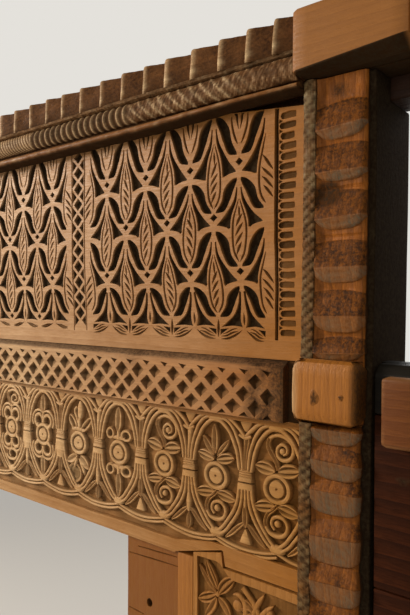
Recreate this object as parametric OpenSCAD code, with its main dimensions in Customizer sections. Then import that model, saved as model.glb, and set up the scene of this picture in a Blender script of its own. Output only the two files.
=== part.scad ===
// Carved cedar doorway screen: one carved bay over a doorway, between two plain wing bays.
// The front faces -Y, the width runs along X and the height along Z, in millimetres.
// The origin is the middle of the underside of the sill, below the face of the carved boards.

/* [Bays] */
// Clear width of the middle bay between its two posts
bay_w = 1472; // [1360:4:1640]
// Clear width of each wing bay
wing_w = 600; // [420:10:900]
// Clear width of the doorway
door_w = 740; // [620:10:820]
// Clear height of the doorway above the sill
door_h = 1250; // [1100:10:1700]

/* [Sill and posts] */
// Height of the sill beam
sill_h = 100; // [80:5:140]
// How far the sill stands out in front of the posts
sill_nose = 10; // [4:1:30]
// Width of a post, seen from the front
post_w = 100; // [90:2:140]
// How far the uncut face of a post stands out in front of the carved boards
post_proud = 35; // [28:1:50]
// Depth of a post from its uncut face to its back
post_d = 149; // [140:1:180]
// Depth to which the front of a post is cut back between its uncut blocks
post_cut = 15; // [8:1:20]
// Depth of each scallop below the cut-back face
scallop_d = 11; // [6:1:14]
// Least height of one scallop
scallop_pitch = 55; // [45:1:80]
// Width of the twisted strip along the doorway edge of a post
strip_w = 16; // [10:1:22]
// Height of the uncut block on a post beside the lattice rail
boss_h = 92; // [70:2:120]
// Height of the uncut block at the foot of a post
foot_h = 150; // [100:10:240]
// Depth of the grooves in the sides of a post
groove_d = 15; // [10:1:20]
// Width of a tenon at the head and foot of a post
tenon_w = 40; // [30:2:50]
// Thickness of a tenon, front to back
tenon_t = 30; // [20:1:30]
// Height of a tenon
tenon_h = 34; // [20:1:40]
// Clearance left round tongues and tenons
fit = 0.3; // [0.1:0.1:0.5]

/* [Head beams] */
// Height of the front beam over the posts
beam_h = 92; // [76:2:110]
// How far the front beam stands out in front of the uncut face of the posts
beam_nose = 10; // [4:1:25]
// How far the carved stretch of the beam hangs below its plain ends
beam_drop = 10; // [6:1:16]
// Depth of the front beam behind the face of the carved boards
beam_back = 46; // [44:1:56]
// How far the middle beam runs on past its posts
beam_run = 58; // [40:2:90]
// How far the beams and the sill run on past the outer posts
end_run = 60; // [40:5:120]
// How far the rear plate sits below the front beam
plate_drop = 30; // [20:2:34]
// Height of the rear plate
plate_h = 84; // [70:2:110]
// How far the row of cogs lies below the top of the plain beam
cog_drop = 8; // [0:1:12]
// How far the row of cogs lies behind the plain face of the beam
cog_set = 3; // [1:1:8]
// How far the row of cogs runs on over each post
cog_over = 1; // [0:1:30]
// Width of one cog with its notch
cog_pitch = 50; // [40:1:70]
// Depth of the notch between two cogs
cog_notch = 12; // [6:1:14]
// Radius of the rope moulding below the cogs
rope_r = 14; // [10:0.5:15]
// Height of the bead below the rope moulding
bead_h = 7; // [4:1:12]
// Height of the ledge between the rope moulding and the cogs
ledge_h = 4; // [2:1:8]

/* [Carved boards] */
// Thickness of the tulip panel, the arcade board and the jamb boards
board_t = 35; // [28:1:40]
// Visible height of the tulip panel
panel_h = 376; // [340:4:460]
// Height of the face of the lattice rail
lattice_h = 78; // [66:2:100]
// Height of the weathered bevel on top of the lattice rail
bevel_h = 10; // [5:1:16]
// How far the lattice rail stands out from the carved boards
lattice_proud = 15; // [10:1:24]
// Distance from each post at which the raised lattice stops
lattice_stop = 31; // [20:1:45]
// Width and height of one diamond of the lattice
lattice_pitch = 43; // [36:1:52]
// Width of the bars between the pits of the lattice
lattice_bar = 8; // [5:1:12]
// Depth of the pits of the lattice
pit_d = 9; // [5:1:12]
// Height of the arcade board
arcade_h = 247; // [220:1:290]
// Gap above the tulip panel in the groove of the beam
panel_gap = 2; // [1:0.5:4]
// Width of the comb border at each end of the tulip panel
comb_w = 37; // [28:1:44]
// Width of the plain strip between the comb border and the post
edge_w = 16; // [10:1:24]
// Width of the two bands of chained diamonds between the three fields
chain_w = 35; // [26:1:44]
// Width and depth of the grooves that part fields, chains and borders
line_w = 4; // [2:0.5:6]
// Height of the plain margin below the fields
panel_margin = 38; // [20:1:60]
// Number of medallions along the arcade board
medallions = 13; // [9:2:17]
// Height of the plain margin below the medallions
arcade_margin = 28; // [16:1:40]
// Share of its bay that a medallion fills
medallion_fill = 0.86; // [0.7:0.01:0.94]
// Outer radius of the ring in a medallion
ring_r = 26; // [16:1:30]
// Length of the worn corner at the top right of the tulip panel
worn_len = 160; // [100:10:240]
// Drop of the worn corner
worn_drop = 17; // [10:1:30]

/* [Door jambs] */
// Width of the plain jamb board next to the doorway
jamb_w = 120; // [90:5:140]
// Width of the plain fillet beside it
fillet_w = 35; // [24:1:50]
// How far the plain jamb board lies behind the face of the carved boards
jamb_set = 12; // [6:1:16]
// How far the fillet and the carved jamb lie behind it
fillet_set = 2; // [1:0.5:4]
// Width of the tongue of the carved jamb that rises into the arcade board
tongue_w = 60; // [40:2:90]
// Height of that tongue
tongue_h = 15; // [8:1:20]

/* [Wing walls] */
// Height of the top plank of a wing
top_plank_h = 225; // [120:5:240]
// Height of the cap rail of a wing
cap_h = 65; // [55:5:90]
// Height of the bevel on the front of the cap rail
cap_bevel = 13; // [6:1:20]
// How far the cap rail stands above the lattice rail
cap_rise = 5; // [0:1:12]
// How far the planks stand out in front of the carved boards
plank_proud = 5; // [2:1:12]
// Thickness of the tongue of a plank
plank_tongue = 25; // [18:1:35]
// Distance of that tongue behind the face of the carved boards
plank_set = 30; // [24:1:40]
// Height of the girt across a wing
girt_h = 90; // [70:5:130]
// Thickness of the girt
girt_t = 25; // [15:1:30]
// Gap between each end of the girt and the posts
girt_gap = 17; // [6:1:30]
// Drop from the top of the cap rail to the top of the girt
girt_drop = 12; // [8:1:40]
// Radius of the rounded upright edges of the girt
girt_round = 10; // [4:1:14]

/* [Hidden] */
$fn = 48;
// A little more than nothing, so that cutters pass clean through a face
over = 1;
// Planks in each wing below its cap rail: the top one, and five of one height below it
planks = 6;

// Places across the width, on the right-hand side
inner_x0 = bay_w / 2;
inner_x1 = inner_x0 + post_w;
outer_x0 = inner_x1 + wing_w;
outer_x1 = outer_x0 + post_w;
end_x = outer_x1 + end_run;
joint_x = inner_x1 + beam_run;
post_mid = inner_x0 + post_w / 2;

// Places front to back
post_front = -post_proud;
post_back = post_d - post_proud;
cut_front = post_front + post_cut;
beam_front = post_front - beam_nose;
sill_front = post_front - sill_nose;
sill_back = post_back + sill_nose;
plank_back = plank_set + plank_tongue;

// Heights
arcade_z0 = sill_h + door_h;
arcade_z1 = arcade_z0 + arcade_h;
lattice_z1 = arcade_z1 + lattice_h;
panel_z0 = lattice_z1 + bevel_h;
beam_low = panel_z0 + panel_h;
beam_z0 = beam_low + beam_drop;
beam_z1 = beam_z0 + beam_h;
plate_z0 = beam_z0 - plate_drop;
boss_z0 = arcade_z1;
boss_z1 = boss_z0 + boss_h;
foot_z1 = sill_h + foot_h;
cap_z1 = panel_z0 + cap_rise;
cap_z0 = cap_z1 - cap_h;
girt_z1 = cap_z1 - girt_drop;
top_plank_z0 = cap_z0 - top_plank_h;
panel_top = beam_z0 - panel_gap;

// A rectangular block between two corners on each axis
module block(x, y, z) {
    translate([x[0], y[0], z[0]]) cube([x[1] - x[0], y[1] - y[0], z[1] - z[0]]);
}

// A solid with the given outline in Y and Z, running along X
module along_x(x, outline) {
    translate([x[0], 0, 0])
        rotate([90, 0, 90])
            linear_extrude(x[1] - x[0]) polygon(outline);
}

// The same shape on the right (1) or, mirrored, on the left (-1)
module on_side(side) {
    mirror([side < 0 ? 1 : 0, 0, 0]) children();
}

// Front outline of a stretch of scallops from z0 up to z1: a rounded lobe over a flat facet
function scallops(z0, z1) =
    let (n = max(1, floor((z1 - z0) / scallop_pitch)), step = (z1 - z0) / n)
    [for (i = [0 : n - 1], p = [
        [scallop_d, 0], [scallop_d * 0.35, 0.14], [0, 0.3], [0, 0.48], [scallop_d * 0.12, 0.62],
        [scallop_d * 0.4, 0.76], [scallop_d * 0.75, 0.88]])
        [cut_front + p[0], z0 + (i + p[1]) * step]];

// Outline of a post from the side: foot block, scallops, uncut boss, scallops, stepped head
post_outline = concat(
    [[post_back, plate_z0], [post_back, sill_h], [post_front, sill_h], [post_front, foot_z1]],
    scallops(foot_z1, boss_z0),
    [[post_front, boss_z0], [post_front, boss_z1]],
    scallops(boss_z1, beam_z0),
    [[cut_front + scallop_d, beam_z0], [beam_back, beam_z0], [beam_back, plate_z0]]);

tenon_y = (beam_back - tenon_t) / 2;
rear_tenon_y = (beam_back + post_back - tenon_t) / 2;

// Tenon of a post, or its mortise when grown by a clearance
module tenon(x_mid, y0, z0, grow) {
    block([x_mid - tenon_w / 2 - grow, x_mid + tenon_w / 2 + grow],
          [y0 - grow, y0 + tenon_t + grow], [z0, z0 + tenon_h + grow]);
}

module foot_mortise(x_mid) {
    block([x_mid - tenon_w / 2 - fit, x_mid + tenon_w / 2 + fit],
          [tenon_y - fit, tenon_y + tenon_t + fit], [sill_h - tenon_h - fit, sill_h + over]);
}

// A post on the right-hand side with its strip and scallops on the front
module post(x0, board_groove, wing_groove_left, wing_groove_right) {
    x1 = x0 + post_w;
    x_mid = x0 + post_w / 2;
    color("peru") {
        difference() {
            union() {
                along_x([x0 + strip_w, x1], post_outline);
                block([x0, x0 + strip_w], [cut_front, beam_back], [sill_h, beam_z0]);
                block([x0, x0 + strip_w], [beam_back, post_back], [sill_h, plate_z0]);
                block([x0, x0 + strip_w], [post_front, cut_front], [boss_z0, boss_z1]);
                block([x0, x0 + strip_w], [post_front, cut_front], [sill_h, foot_z1]);
            }
            if (board_groove)
                block([x0 - over, x0 + groove_d], [-fit, board_t + fit], [sill_h, beam_z0 + over]);
            if (wing_groove_left)
                wing_groove([x0 - over, x0 + groove_d]);
            if (wing_groove_right)
                wing_groove([x1 - groove_d, x1 + over]);
        }
        tenon(x_mid, tenon_y, beam_z0, 0);
        tenon(x_mid, rear_tenon_y, plate_z0, 0);
        block([x_mid - tenon_w / 2, x_mid + tenon_w / 2], [tenon_y, tenon_y + tenon_t],
              [sill_h - tenon_h, sill_h]);
    }
}

module wing_groove(x) {
    block(x, [plank_set - fit, plank_back + fit], [sill_h, beam_z0 + over]);
}

module sill() {
    color("saddlebrown")
        difference() {
            block([-end_x, end_x], [sill_front, sill_back], [0, sill_h]);
            for (side = [-1, 1], x0 = [inner_x0, outer_x0])
                on_side(side) foot_mortise(x0 + post_w / 2);
        }
}

// Plan outline of the row of cogs between the plain ends of the middle beam
cog_len = 2 * (inner_x0 + cog_over);
cog_count = floor(cog_len / cog_pitch);
cog_step = cog_len / cog_count;
cog_front = beam_front + cog_set;
cog_root = cog_front + cog_notch;

// One cog in plan: share of its step along X, share of the notch out of the root
cog_shape = [[0.02, 0], [0.16, 0.55], [0.32, 0.9], [0.55, 1], [0.86, 0.85], [0.98, 0]];

function cog_outline() = concat(
    [[cog_len / 2, 0], [-cog_len / 2, 0]],
    [for (i = [0 : cog_count - 1], p = cog_shape)
        [-cog_len / 2 + (i + p[0]) * cog_step, cog_root - p[1] * cog_notch]]);

cog_top = beam_z1 - cog_drop;
rope_z = beam_low + bead_h + rope_r;
cog_z0 = rope_z + rope_r + ledge_h;

module front_beam_middle() {
    color("sandybrown")
        difference() {
            union() {
                for (side = [-1, 1])
                    on_side(side) {
                        block([cog_len / 2, joint_x], [beam_front, 0], [beam_z0, beam_z1]);
                        block([cog_len / 2, post_mid], [0, beam_back], [beam_z0, beam_z1]);
                    }
                block([-cog_len / 2, cog_len / 2], [cog_root, beam_back], [beam_z0, cog_top]);
                block([-inner_x0, inner_x0], [cog_root, beam_back], [beam_low, beam_z0]);
                translate([0, 0, cog_z0]) linear_extrude(cog_top - cog_z0) polygon(cog_outline());
                translate([-inner_x0, cog_root, rope_z])
                    rotate([0, 90, 0]) cylinder(r = rope_r, h = 2 * inner_x0);
            }
            block([-inner_x0 - over, inner_x0 + over], [-fit, board_t + fit],
                  [beam_low - over, beam_z0]);
            for (side = [-1, 1])
                on_side(side) tenon(post_mid, tenon_y, beam_z0 - fit, fit);
        }
}

module front_beam_side(side) {
    color("sandybrown")
        on_side(side) difference() {
            union() {
                block([joint_x, end_x], [beam_front, beam_back], [beam_z0, beam_z1]);
                block([post_mid, joint_x], [0, beam_back], [beam_z0, beam_z1]);
            }
            for (x_mid = [post_mid, outer_x0 + post_w / 2])
                tenon(x_mid, tenon_y, beam_z0 - fit, fit);
        }
}

module rear_plate() {
    color("saddlebrown")
        difference() {
            block([-end_x, end_x], [beam_back, post_back], [plate_z0, plate_z0 + plate_h]);
            for (side = [-1, 1], x0 = [inner_x0, outer_x0])
                on_side(side) tenon(x0 + post_w / 2, rear_tenon_y, plate_z0 - fit, fit);
        }
}

// Half length of a board whose two ends sit in the grooves of the posts
board_x = inner_x0 + groove_d - fit;

// Lines that part the plain edges, the combs, the three fields and the two chains
comb_x1 = inner_x0 - edge_w;
comb_x0 = comb_x1 - comb_w;
field_w = (2 * comb_x0 - 2 * chain_w) / 3;
chain_x0 = field_w / 2;
panel_lines = [chain_x0, chain_x0 + chain_w, comb_x0, comb_x1];

module tulip_panel() {
    color("burlywood")
        difference() {
            block([-board_x, board_x], [0, board_t], [panel_z0, panel_top]);
            for (side = [-1, 1], x = panel_lines)
                on_side(side)
                    block([x - line_w / 2, x + line_w / 2], [-over, line_w],
                          [panel_z0 + panel_margin, panel_top + over]);
            translate([0, -over, 0])
                rotate([90, 0, 0]) mirror([0, 0, 1]) linear_extrude(board_t + 2 * over)
                    polygon([[inner_x0 - worn_len, panel_top + over],
                             [inner_x0 - worn_len, beam_low],
                             [board_x + over, beam_low - worn_drop],
                             [board_x + over, panel_top + over]]);
        }
}

lattice_x = inner_x0 - lattice_stop;
lattice_rows = max(1, round(2 * lattice_h / lattice_pitch) - 1);
lattice_cols = floor(2 * lattice_x / lattice_pitch);
lattice_step = 2 * lattice_x / lattice_cols;
lattice_row = lattice_h / (lattice_rows + 1);

module lattice_rail() {
    color("tan")
        difference() {
            union() {
                block([-board_x, board_x], [0, board_t], [arcade_z1, panel_z0]);
                along_x([-lattice_x, lattice_x],
                        [[0, arcade_z1], [-lattice_proud, arcade_z1], [-lattice_proud, lattice_z1],
                         [0, panel_z0]]);
            }
            for (r = [1 : lattice_rows], c = [0 : lattice_cols - 1 - r % 2])
                lattice_pit(-lattice_x + (c + (r % 2 == 1 ? 1 : 0.5)) * lattice_step,
                            arcade_z1 + r * lattice_row);
        }
}

module lattice_pit(x, z) {
    reach = min(lattice_step / 2, lattice_row) - lattice_bar / 2;
    translate([x, -lattice_proud - over, z])
        rotate([90, 0, 0]) mirror([0, 0, 1]) linear_extrude(pit_d + over)
            polygon([[-reach, 0], [0, -reach], [reach, 0], [0, reach]]);
}

jamb_x0 = door_w / 2;
fillet_x0 = jamb_x0 + jamb_w;
carved_x0 = fillet_x0 + fillet_w;
tongue_x1 = carved_x0 + tongue_w;

// An almond outline: the shape that two equal circles share
module almond(w, h) {
    r = (w * w + h * h) / (4 * w);
    intersection() {
        translate([r - w / 2, 0]) circle(r, $fn = 96);
        translate([w / 2 - r, 0]) circle(r, $fn = 96);
    }
}

medallion_pitch = 2 * inner_x0 / medallions;
medallion_h = arcade_h - arcade_margin;

// The grooves of one medallion: an almond band round a ring
module medallion_grooves() {
    w = medallion_pitch * medallion_fill;
    h = medallion_h - line_w;
    difference() {
        almond(w, h);
        almond(w - 2 * line_w, h - 4 * line_w);
    }
    difference() {
        circle(ring_r);
        circle(ring_r - line_w);
    }
}

module arcade_board() {
    color("burlywood")
        difference() {
            block([-board_x, board_x], [0, board_t], [arcade_z0, arcade_z1]);
            for (i = [0 : medallions - 1])
                translate([(i - (medallions - 1) / 2) * medallion_pitch, -over,
                           arcade_z1 - medallion_h / 2])
                    rotate([90, 0, 0]) mirror([0, 0, 1]) linear_extrude(line_w + over)
                        medallion_grooves();
            for (side = [-1, 1])
                on_side(side)
                    block([fillet_x0 - fit, tongue_x1 + fit], [-over, board_t + over],
                          [arcade_z0 - over, arcade_z0 + tongue_h]);
        }
}

module jamb_plain(side) {
    color("peru")
        on_side(side) block([jamb_x0, fillet_x0], [jamb_set, board_t], [sill_h, arcade_z0]);
}

module jamb_fillet(side) {
    color("burlywood")
        on_side(side) block([fillet_x0, carved_x0], [fillet_set, board_t],
                            [sill_h, arcade_z0 + tongue_h]);
}

module jamb_carved(side) {
    color("tan")
        on_side(side) {
            block([carved_x0, board_x], [fillet_set, board_t], [sill_h, arcade_z0]);
            block([carved_x0, tongue_x1], [fillet_set, board_t], [arcade_z0, arcade_z0 + tongue_h]);
        }
}

// A wing board with its two tongues in the grooves of the posts
module wing_board(z0, z1) {
    block([inner_x1, outer_x0], [-plank_proud, plank_back], [z0, z1]);
    block([inner_x1 - groove_d + fit, outer_x0 + groove_d - fit], [plank_set, plank_back], [z0, z1]);
}

function plank_z(i) = i > planks ? cap_z0 : sill_h + (i - 1) * (top_plank_z0 - sill_h) / (planks - 1);

module wing_plank(side, i) {
    color("sienna")
        on_side(side) wing_board(plank_z(i), plank_z(i + 1));
}

module wing_cap(side) {
    color("sienna")
        on_side(side) difference() {
            wing_board(cap_z0, cap_z1);
            along_x([inner_x1 - over, outer_x0 + over],
                    [[-plank_proud - over, cap_z1 - cap_bevel],
                     [-plank_proud, cap_z1 - cap_bevel],
                     [-plank_proud + cap_bevel, cap_z1],
                     [-plank_proud + cap_bevel, cap_z1 + over],
                     [-plank_proud - over, cap_z1 + over]]);
        }
}

// The girt lies on the face of the planks, with its two upright front edges rounded
module wing_girt(side) {
    x0 = inner_x1 + girt_gap;
    x1 = outer_x0 - girt_gap;
    y0 = -plank_proud - girt_t;
    color("peru")
        on_side(side)
            translate([0, 0, girt_z1 - girt_h]) linear_extrude(girt_h)
                union() {
                    translate([x0, y0 + girt_round]) square([x1 - x0, girt_t - girt_round]);
                    translate([x0 + girt_round, y0]) square([x1 - x0 - 2 * girt_round, girt_round]);
                    for (x = [x0 + girt_round, x1 - girt_round])
                        translate([x, y0 + girt_round]) circle(girt_round);
                }
}

sill();
on_side(-1) post(inner_x0, true, false, true);  // post_inner_left
on_side(1) post(inner_x0, true, false, true);  // post_inner_right
on_side(-1) post(outer_x0, false, true, false);  // post_outer_left
on_side(1) post(outer_x0, false, true, false);  // post_outer_right
front_beam_middle();
front_beam_side(-1);  // front_beam_left
front_beam_side(1);  // front_beam_right
rear_plate();
tulip_panel();
lattice_rail();
arcade_board();
jamb_plain(-1);  // jamb_plain_left
jamb_plain(1);  // jamb_plain_right
jamb_fillet(-1);  // jamb_fillet_left
jamb_fillet(1);  // jamb_fillet_right
jamb_carved(-1);  // jamb_carved_left
jamb_carved(1);  // jamb_carved_right
wing_cap(-1);  // wing_cap_left
wing_cap(1);  // wing_cap_right
wing_girt(-1);  // wing_girt_left
wing_girt(1);  // wing_girt_right
wing_plank(-1, 1);  // wing_plank_left_1
wing_plank(-1, 2);  // wing_plank_left_2
wing_plank(-1, 3);  // wing_plank_left_3
wing_plank(-1, 4);  // wing_plank_left_4
wing_plank(-1, 5);  // wing_plank_left_5
wing_plank(-1, 6);  // wing_plank_left_6
wing_plank(1, 1);  // wing_plank_right_1
wing_plank(1, 2);  // wing_plank_right_2
wing_plank(1, 3);  // wing_plank_right_3
wing_plank(1, 4);  // wing_plank_right_4
wing_plank(1, 5);  // wing_plank_right_5
wing_plank(1, 6);  // wing_plank_right_6
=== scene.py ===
"""Carved cedar doorway screen: the carved and weathered timbers, their finishes, the floor and the lights."""

import math
from functools import partial
from types import SimpleNamespace

import bpy
import numpy as np
from bpy.props import FloatProperty, FloatVectorProperty, PointerProperty
from mathutils import Matrix, Vector
from mathutils.geometry import delaunay_2d_cdt
from numpy.random import default_rng


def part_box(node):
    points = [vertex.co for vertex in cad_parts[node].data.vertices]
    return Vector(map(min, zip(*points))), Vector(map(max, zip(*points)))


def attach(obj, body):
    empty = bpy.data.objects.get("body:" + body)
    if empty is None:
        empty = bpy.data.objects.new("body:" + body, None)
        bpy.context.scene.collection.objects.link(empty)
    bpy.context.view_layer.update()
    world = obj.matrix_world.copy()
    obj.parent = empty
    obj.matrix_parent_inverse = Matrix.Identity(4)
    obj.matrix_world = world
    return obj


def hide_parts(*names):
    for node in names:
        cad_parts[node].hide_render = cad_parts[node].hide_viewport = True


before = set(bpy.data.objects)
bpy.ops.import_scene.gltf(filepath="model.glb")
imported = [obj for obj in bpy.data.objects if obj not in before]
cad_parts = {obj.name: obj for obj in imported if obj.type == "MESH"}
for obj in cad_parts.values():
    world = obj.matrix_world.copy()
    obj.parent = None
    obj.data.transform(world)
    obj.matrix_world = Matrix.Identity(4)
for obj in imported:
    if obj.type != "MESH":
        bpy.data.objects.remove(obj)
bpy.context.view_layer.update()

bl_info = {
    "name": "Carved Cedar Doorway Screen",
    "version": (1, 0, 0),
    "blender": (4, 5, 0),
    "location": "View3D > Sidebar > Screen",
    "description": "Builds the carved timbers of a doorway screen on its packed frame",
    "category": "Object",
}

MM = 0.001
SIDES = (-1, 1)
HANDS = ((-1, "left"), (1, "right"))
# Visible faces lie this far inside the faces of the solids that they stand for
SKIN = 0.3
# Half of the gap where two timbers of the wings meet
SEAM = 0.2
# Marks of a face that never sees light, painted dark as shade: dirt, grey and stain
SHADOWED = (1, 0, 1)
# The dirt and the stain marks also carry painted shade; the grey mark also carries painted highlights on some
# arrises and crests
MARKS = ("dirt", "grey", "stain")


def linear(text):
    """Linear colour with alpha from an sRGB hex value."""
    parts = [int(text[i : i + 2], 16) / 255 for i in (1, 3, 5)]
    return tuple(c / 12.92 if c <= 0.04045 else ((c + 0.055) / 1.055) ** 2.4 for c in parts) + (1,)


def size_setting(name, description, millimetres):
    """A length that a user may change."""
    return FloatProperty(name=name, description=description, default=millimetres * MM, min=0, unit="LENGTH")


def colour_setting(name, description, text):
    """A colour that a user may change, given as sRGB hex."""
    return FloatVectorProperty(
        name=name, description=description, default=linear(text), size=4, min=0, max=1, subtype="COLOR")


class ScreenSizes(bpy.types.PropertyGroup):
    crescent: size_setting("Crescents", "Depth of the crescents beside each tulip leaf", 8)
    recess: size_setting("Recesses", "Depth of the other recesses of the tulip panel", 6.5)
    groove: size_setting("Grooves", "Depth of the knife grooves", 3)
    ground: size_setting("Arcade ground", "Depth of the ground between the medallions' ridges", 8.4)
    lattice: size_setting("Lattice pits", "Depth of the diamond pits", 9)
    facet: size_setting("Post facets", "Depth of the hollows down the front of each post", 11)
    hand: size_setting("Hand", "How far the carver's line wanders", 1.1)
    wear: size_setting("Wear", "Radius of the worn edges of the plain timbers", 4)


class ScreenColours(bpy.types.PropertyGroup):
    # The carved boards' pale middle and amber ends are partly the wood's own tone and partly painted sheen
    carved: colour_setting("Carved boards", "Pale worn cedar at the middle of the carved boards", "#C2986A")
    amber: colour_setting(
        "Near the posts", "Orange-brown cedar of the carved boards near the posts", "#A0641F")
    arcade: colour_setting("Arcade", "Cedar of the arcade board", "#BC9160")
    lattice: colour_setting("Lattice", "Cedar of the lattice rail", "#B98B5A")
    plain: colour_setting("Plain timber", "Planed cedar of the beam ends and the uncut blocks", "#98622A")
    jamb: colour_setting("Door jambs", "Oiled cedar of the plain jamb boards", "#84521F")
    hollow: colour_setting("Post hollows", "Orange brown of the hollows down the posts", "#AC641C")
    beam: colour_setting("Beam moulding", "Orange-brown cedar of the bead, the rope and the cogs", "#8C5A2C")
    # The wing planks' near-black colour is dark stain and painted shade
    plank: colour_setting("Wing planks", "Dark stained cedar of the wing planks", "#301608")
    girt: colour_setting("Girts", "Cedar of the girts across the wings", "#70401A")
    # Old dirt and dust also paint the shade in recesses, under things and on hidden faces
    dirt: colour_setting("Old dirt", "Colour that has settled in the recesses", "#24170A")
    dust: colour_setting("Dust", "Grey-brown dust over the old dirt", "#463A26")
    silver: colour_setting("Weathered grey", "Silver grey of weathered end grain", "#857A66")
    # The dark stain also paints shade on hidden faces, undersides and sides turned from the light
    stain: colour_setting("Dark stain", "Brown-black stain on the facets and beams", "#3A2211")


def sizes():
    """The screen's sizes in millimetres."""
    group = bpy.context.scene.screen_sizes
    return SimpleNamespace(**{key: getattr(group, key) / MM for key in ScreenSizes.__annotations__})


def palette():
    """The screen's colours as plain rows of numbers."""
    group = bpy.context.scene.screen_colours
    return SimpleNamespace(**{key: tuple(getattr(group, key)) for key in ScreenColours.__annotations__})


def box(node):
    """The corners of a CAD node in millimetres."""
    low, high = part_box(node)
    return np.array(low) / MM, np.array(high) / MM


# Curves, rails and hand-made unevenness


def wander(points, seed, reach):
    """A smooth unevenness between -1 and 1 at each point; its features are about reach millimetres long."""
    rng = default_rng(seed)
    waves = rng.normal(size=(points.shape[-1], 8)) * 2.6 / reach
    return np.clip(np.sin(points @ waves + rng.uniform(0, 6.28, 8)).sum(-1) / 4, -1, 1)


def curve(points, count):
    """Evenly spaced rows on a smooth curve through rows whose first two columns are a place."""
    p = np.asarray(points, float)
    step = np.maximum(np.linalg.norm(np.diff(p[:, :2], axis=0), axis=1), 1e-6)
    t = np.concatenate([[0], np.cumsum(step)])
    slope = np.gradient(p, t, axis=0)
    s = np.linspace(0, t[-1], count)
    i = np.clip(np.searchsorted(t, s, side="right") - 1, 0, len(t) - 2)
    h = (t[i + 1] - t[i])[:, None]
    u = (s - t[i])[:, None] / h
    return (
        (2 * u**3 - 3 * u**2 + 1) * p[i] + (u**3 - 2 * u**2 + u) * h * slope[i]
        + (3 * u**2 - 2 * u**3) * p[i + 1] + (u**3 - u**2) * h * slope[i + 1])


def rails(line):
    """The right and left edges of a line given as rows of x, z and half width."""
    way = np.gradient(line[:, :2], axis=0)
    way /= np.linalg.norm(way, axis=1)[:, None]
    left = np.stack([-way[:, 1], way[:, 0]], 1) * line[:, 2:3]
    return line[:, :2] - left, line[:, :2] + left


def turn(points):
    """Twice the area of a flat loop, positive where it runs anticlockwise."""
    x, z = points[:, 0], points[:, 1]
    return float(np.sum(x * np.roll(z, -1) - np.roll(x, -1) * z))


def oblong(x0, z0, x1, z1):
    """The corners of an upright rectangle."""
    return (x0, z0), (x1, z0), (x1, z1), (x0, z1)


def spots(x, y, z):
    """Points from their three coordinates, each a number or an array."""
    return np.stack(np.broadcast_arrays(x, y, z), -1).astype(float)


def shades(points, dirt=0, grey=0, stain=0):
    """Marks for each of the points."""
    return np.stack(
        [np.broadcast_to(mark, points.shape[:-1]) for mark in (dirt, grey, stain)], -1).astype(float)


def quads(index):
    """Four-sided faces between neighbouring rows and columns of point numbers."""
    return np.stack([index[:-1, :-1], index[1:, :-1], index[1:, 1:], index[:-1, 1:]], -1).reshape(-1, 4)


def border(grid):
    """The outer loop of a grid."""
    return np.concatenate([grid[:, 0], grid[-1, 1:], grid[-2::-1, -1], grid[0, -2:0:-1]])


def placed(rows, centre, side=1, up=1):
    """Rows of x, z and half width set on one side of a centre, upright or upside down."""
    return [(centre[0] + side * x, centre[1] + up * z, half) for x, z, half in rows]


def mirrored(*half):
    """A whole section from its first half; a row in the middle stands once."""
    return np.array([*half, *((1 - across, down) for across, down in reversed(half) if across < 0.5)])


# Sections across a cut or a ridge: share of the way across, share of the depth
PIT = np.array((
    (0, 0), (0.035, 0.12), (0.08, 0.5), (0.15, 0.88), (0.5, 1), (0.84, 0.94), (0.92, 0.6), (0.965, 0.14),
    (1, 0)))
VEE = mirrored((0, 0), (0.1, 0.25), (0.28, 0.85), (0.5, 1))
RIDGE = mirrored((0, 1), (0.04, 0.36), (0.13, 0.1), (0.32, 0))
SCOOP = mirrored((0, 1), (0.03, 0.4), (0.09, 0.06), (0.18, 0), (0.29, 0.16), (0.5, 0.5))
PETAL = mirrored(
    (0, 1), (0.02, 0.4), (0.07, 0.05), (0.14, 0), (0.19, 0.12), (0.24, 0.62), (0.29, 0.72), (0.34, 0.62),
    (0.4, 0.2), (0.5, 0.13))
FLAT = mirrored((0, 1), (0.04, 0.16), (0.12, 0))
HOLLOW = mirrored((0, 1), (0.03, 0.4), (0.1, 0.04), (0.2, 0), (0.3, 0.12), (0.35, 0.6), (0.42, 0.85))


def held(share):
    """A share, kept between zero and one."""
    return np.clip(share, 0, 1)


def settled(depth, reach=2.2):
    """How much old dirt and painted shade lie at a depth below the carved face."""
    return 1 - np.exp(-((np.clip(depth, 0, None) / reach) ** 1.3))


def between(a, b, across):
    """Rows of points from one rail to the other."""
    return a[:, None] + (b - a)[:, None] * across[None, :, None]


def full_turn(count):
    """Angles evenly round a circle."""
    return np.linspace(0, 2 * math.pi, count, endpoint=False)


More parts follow.
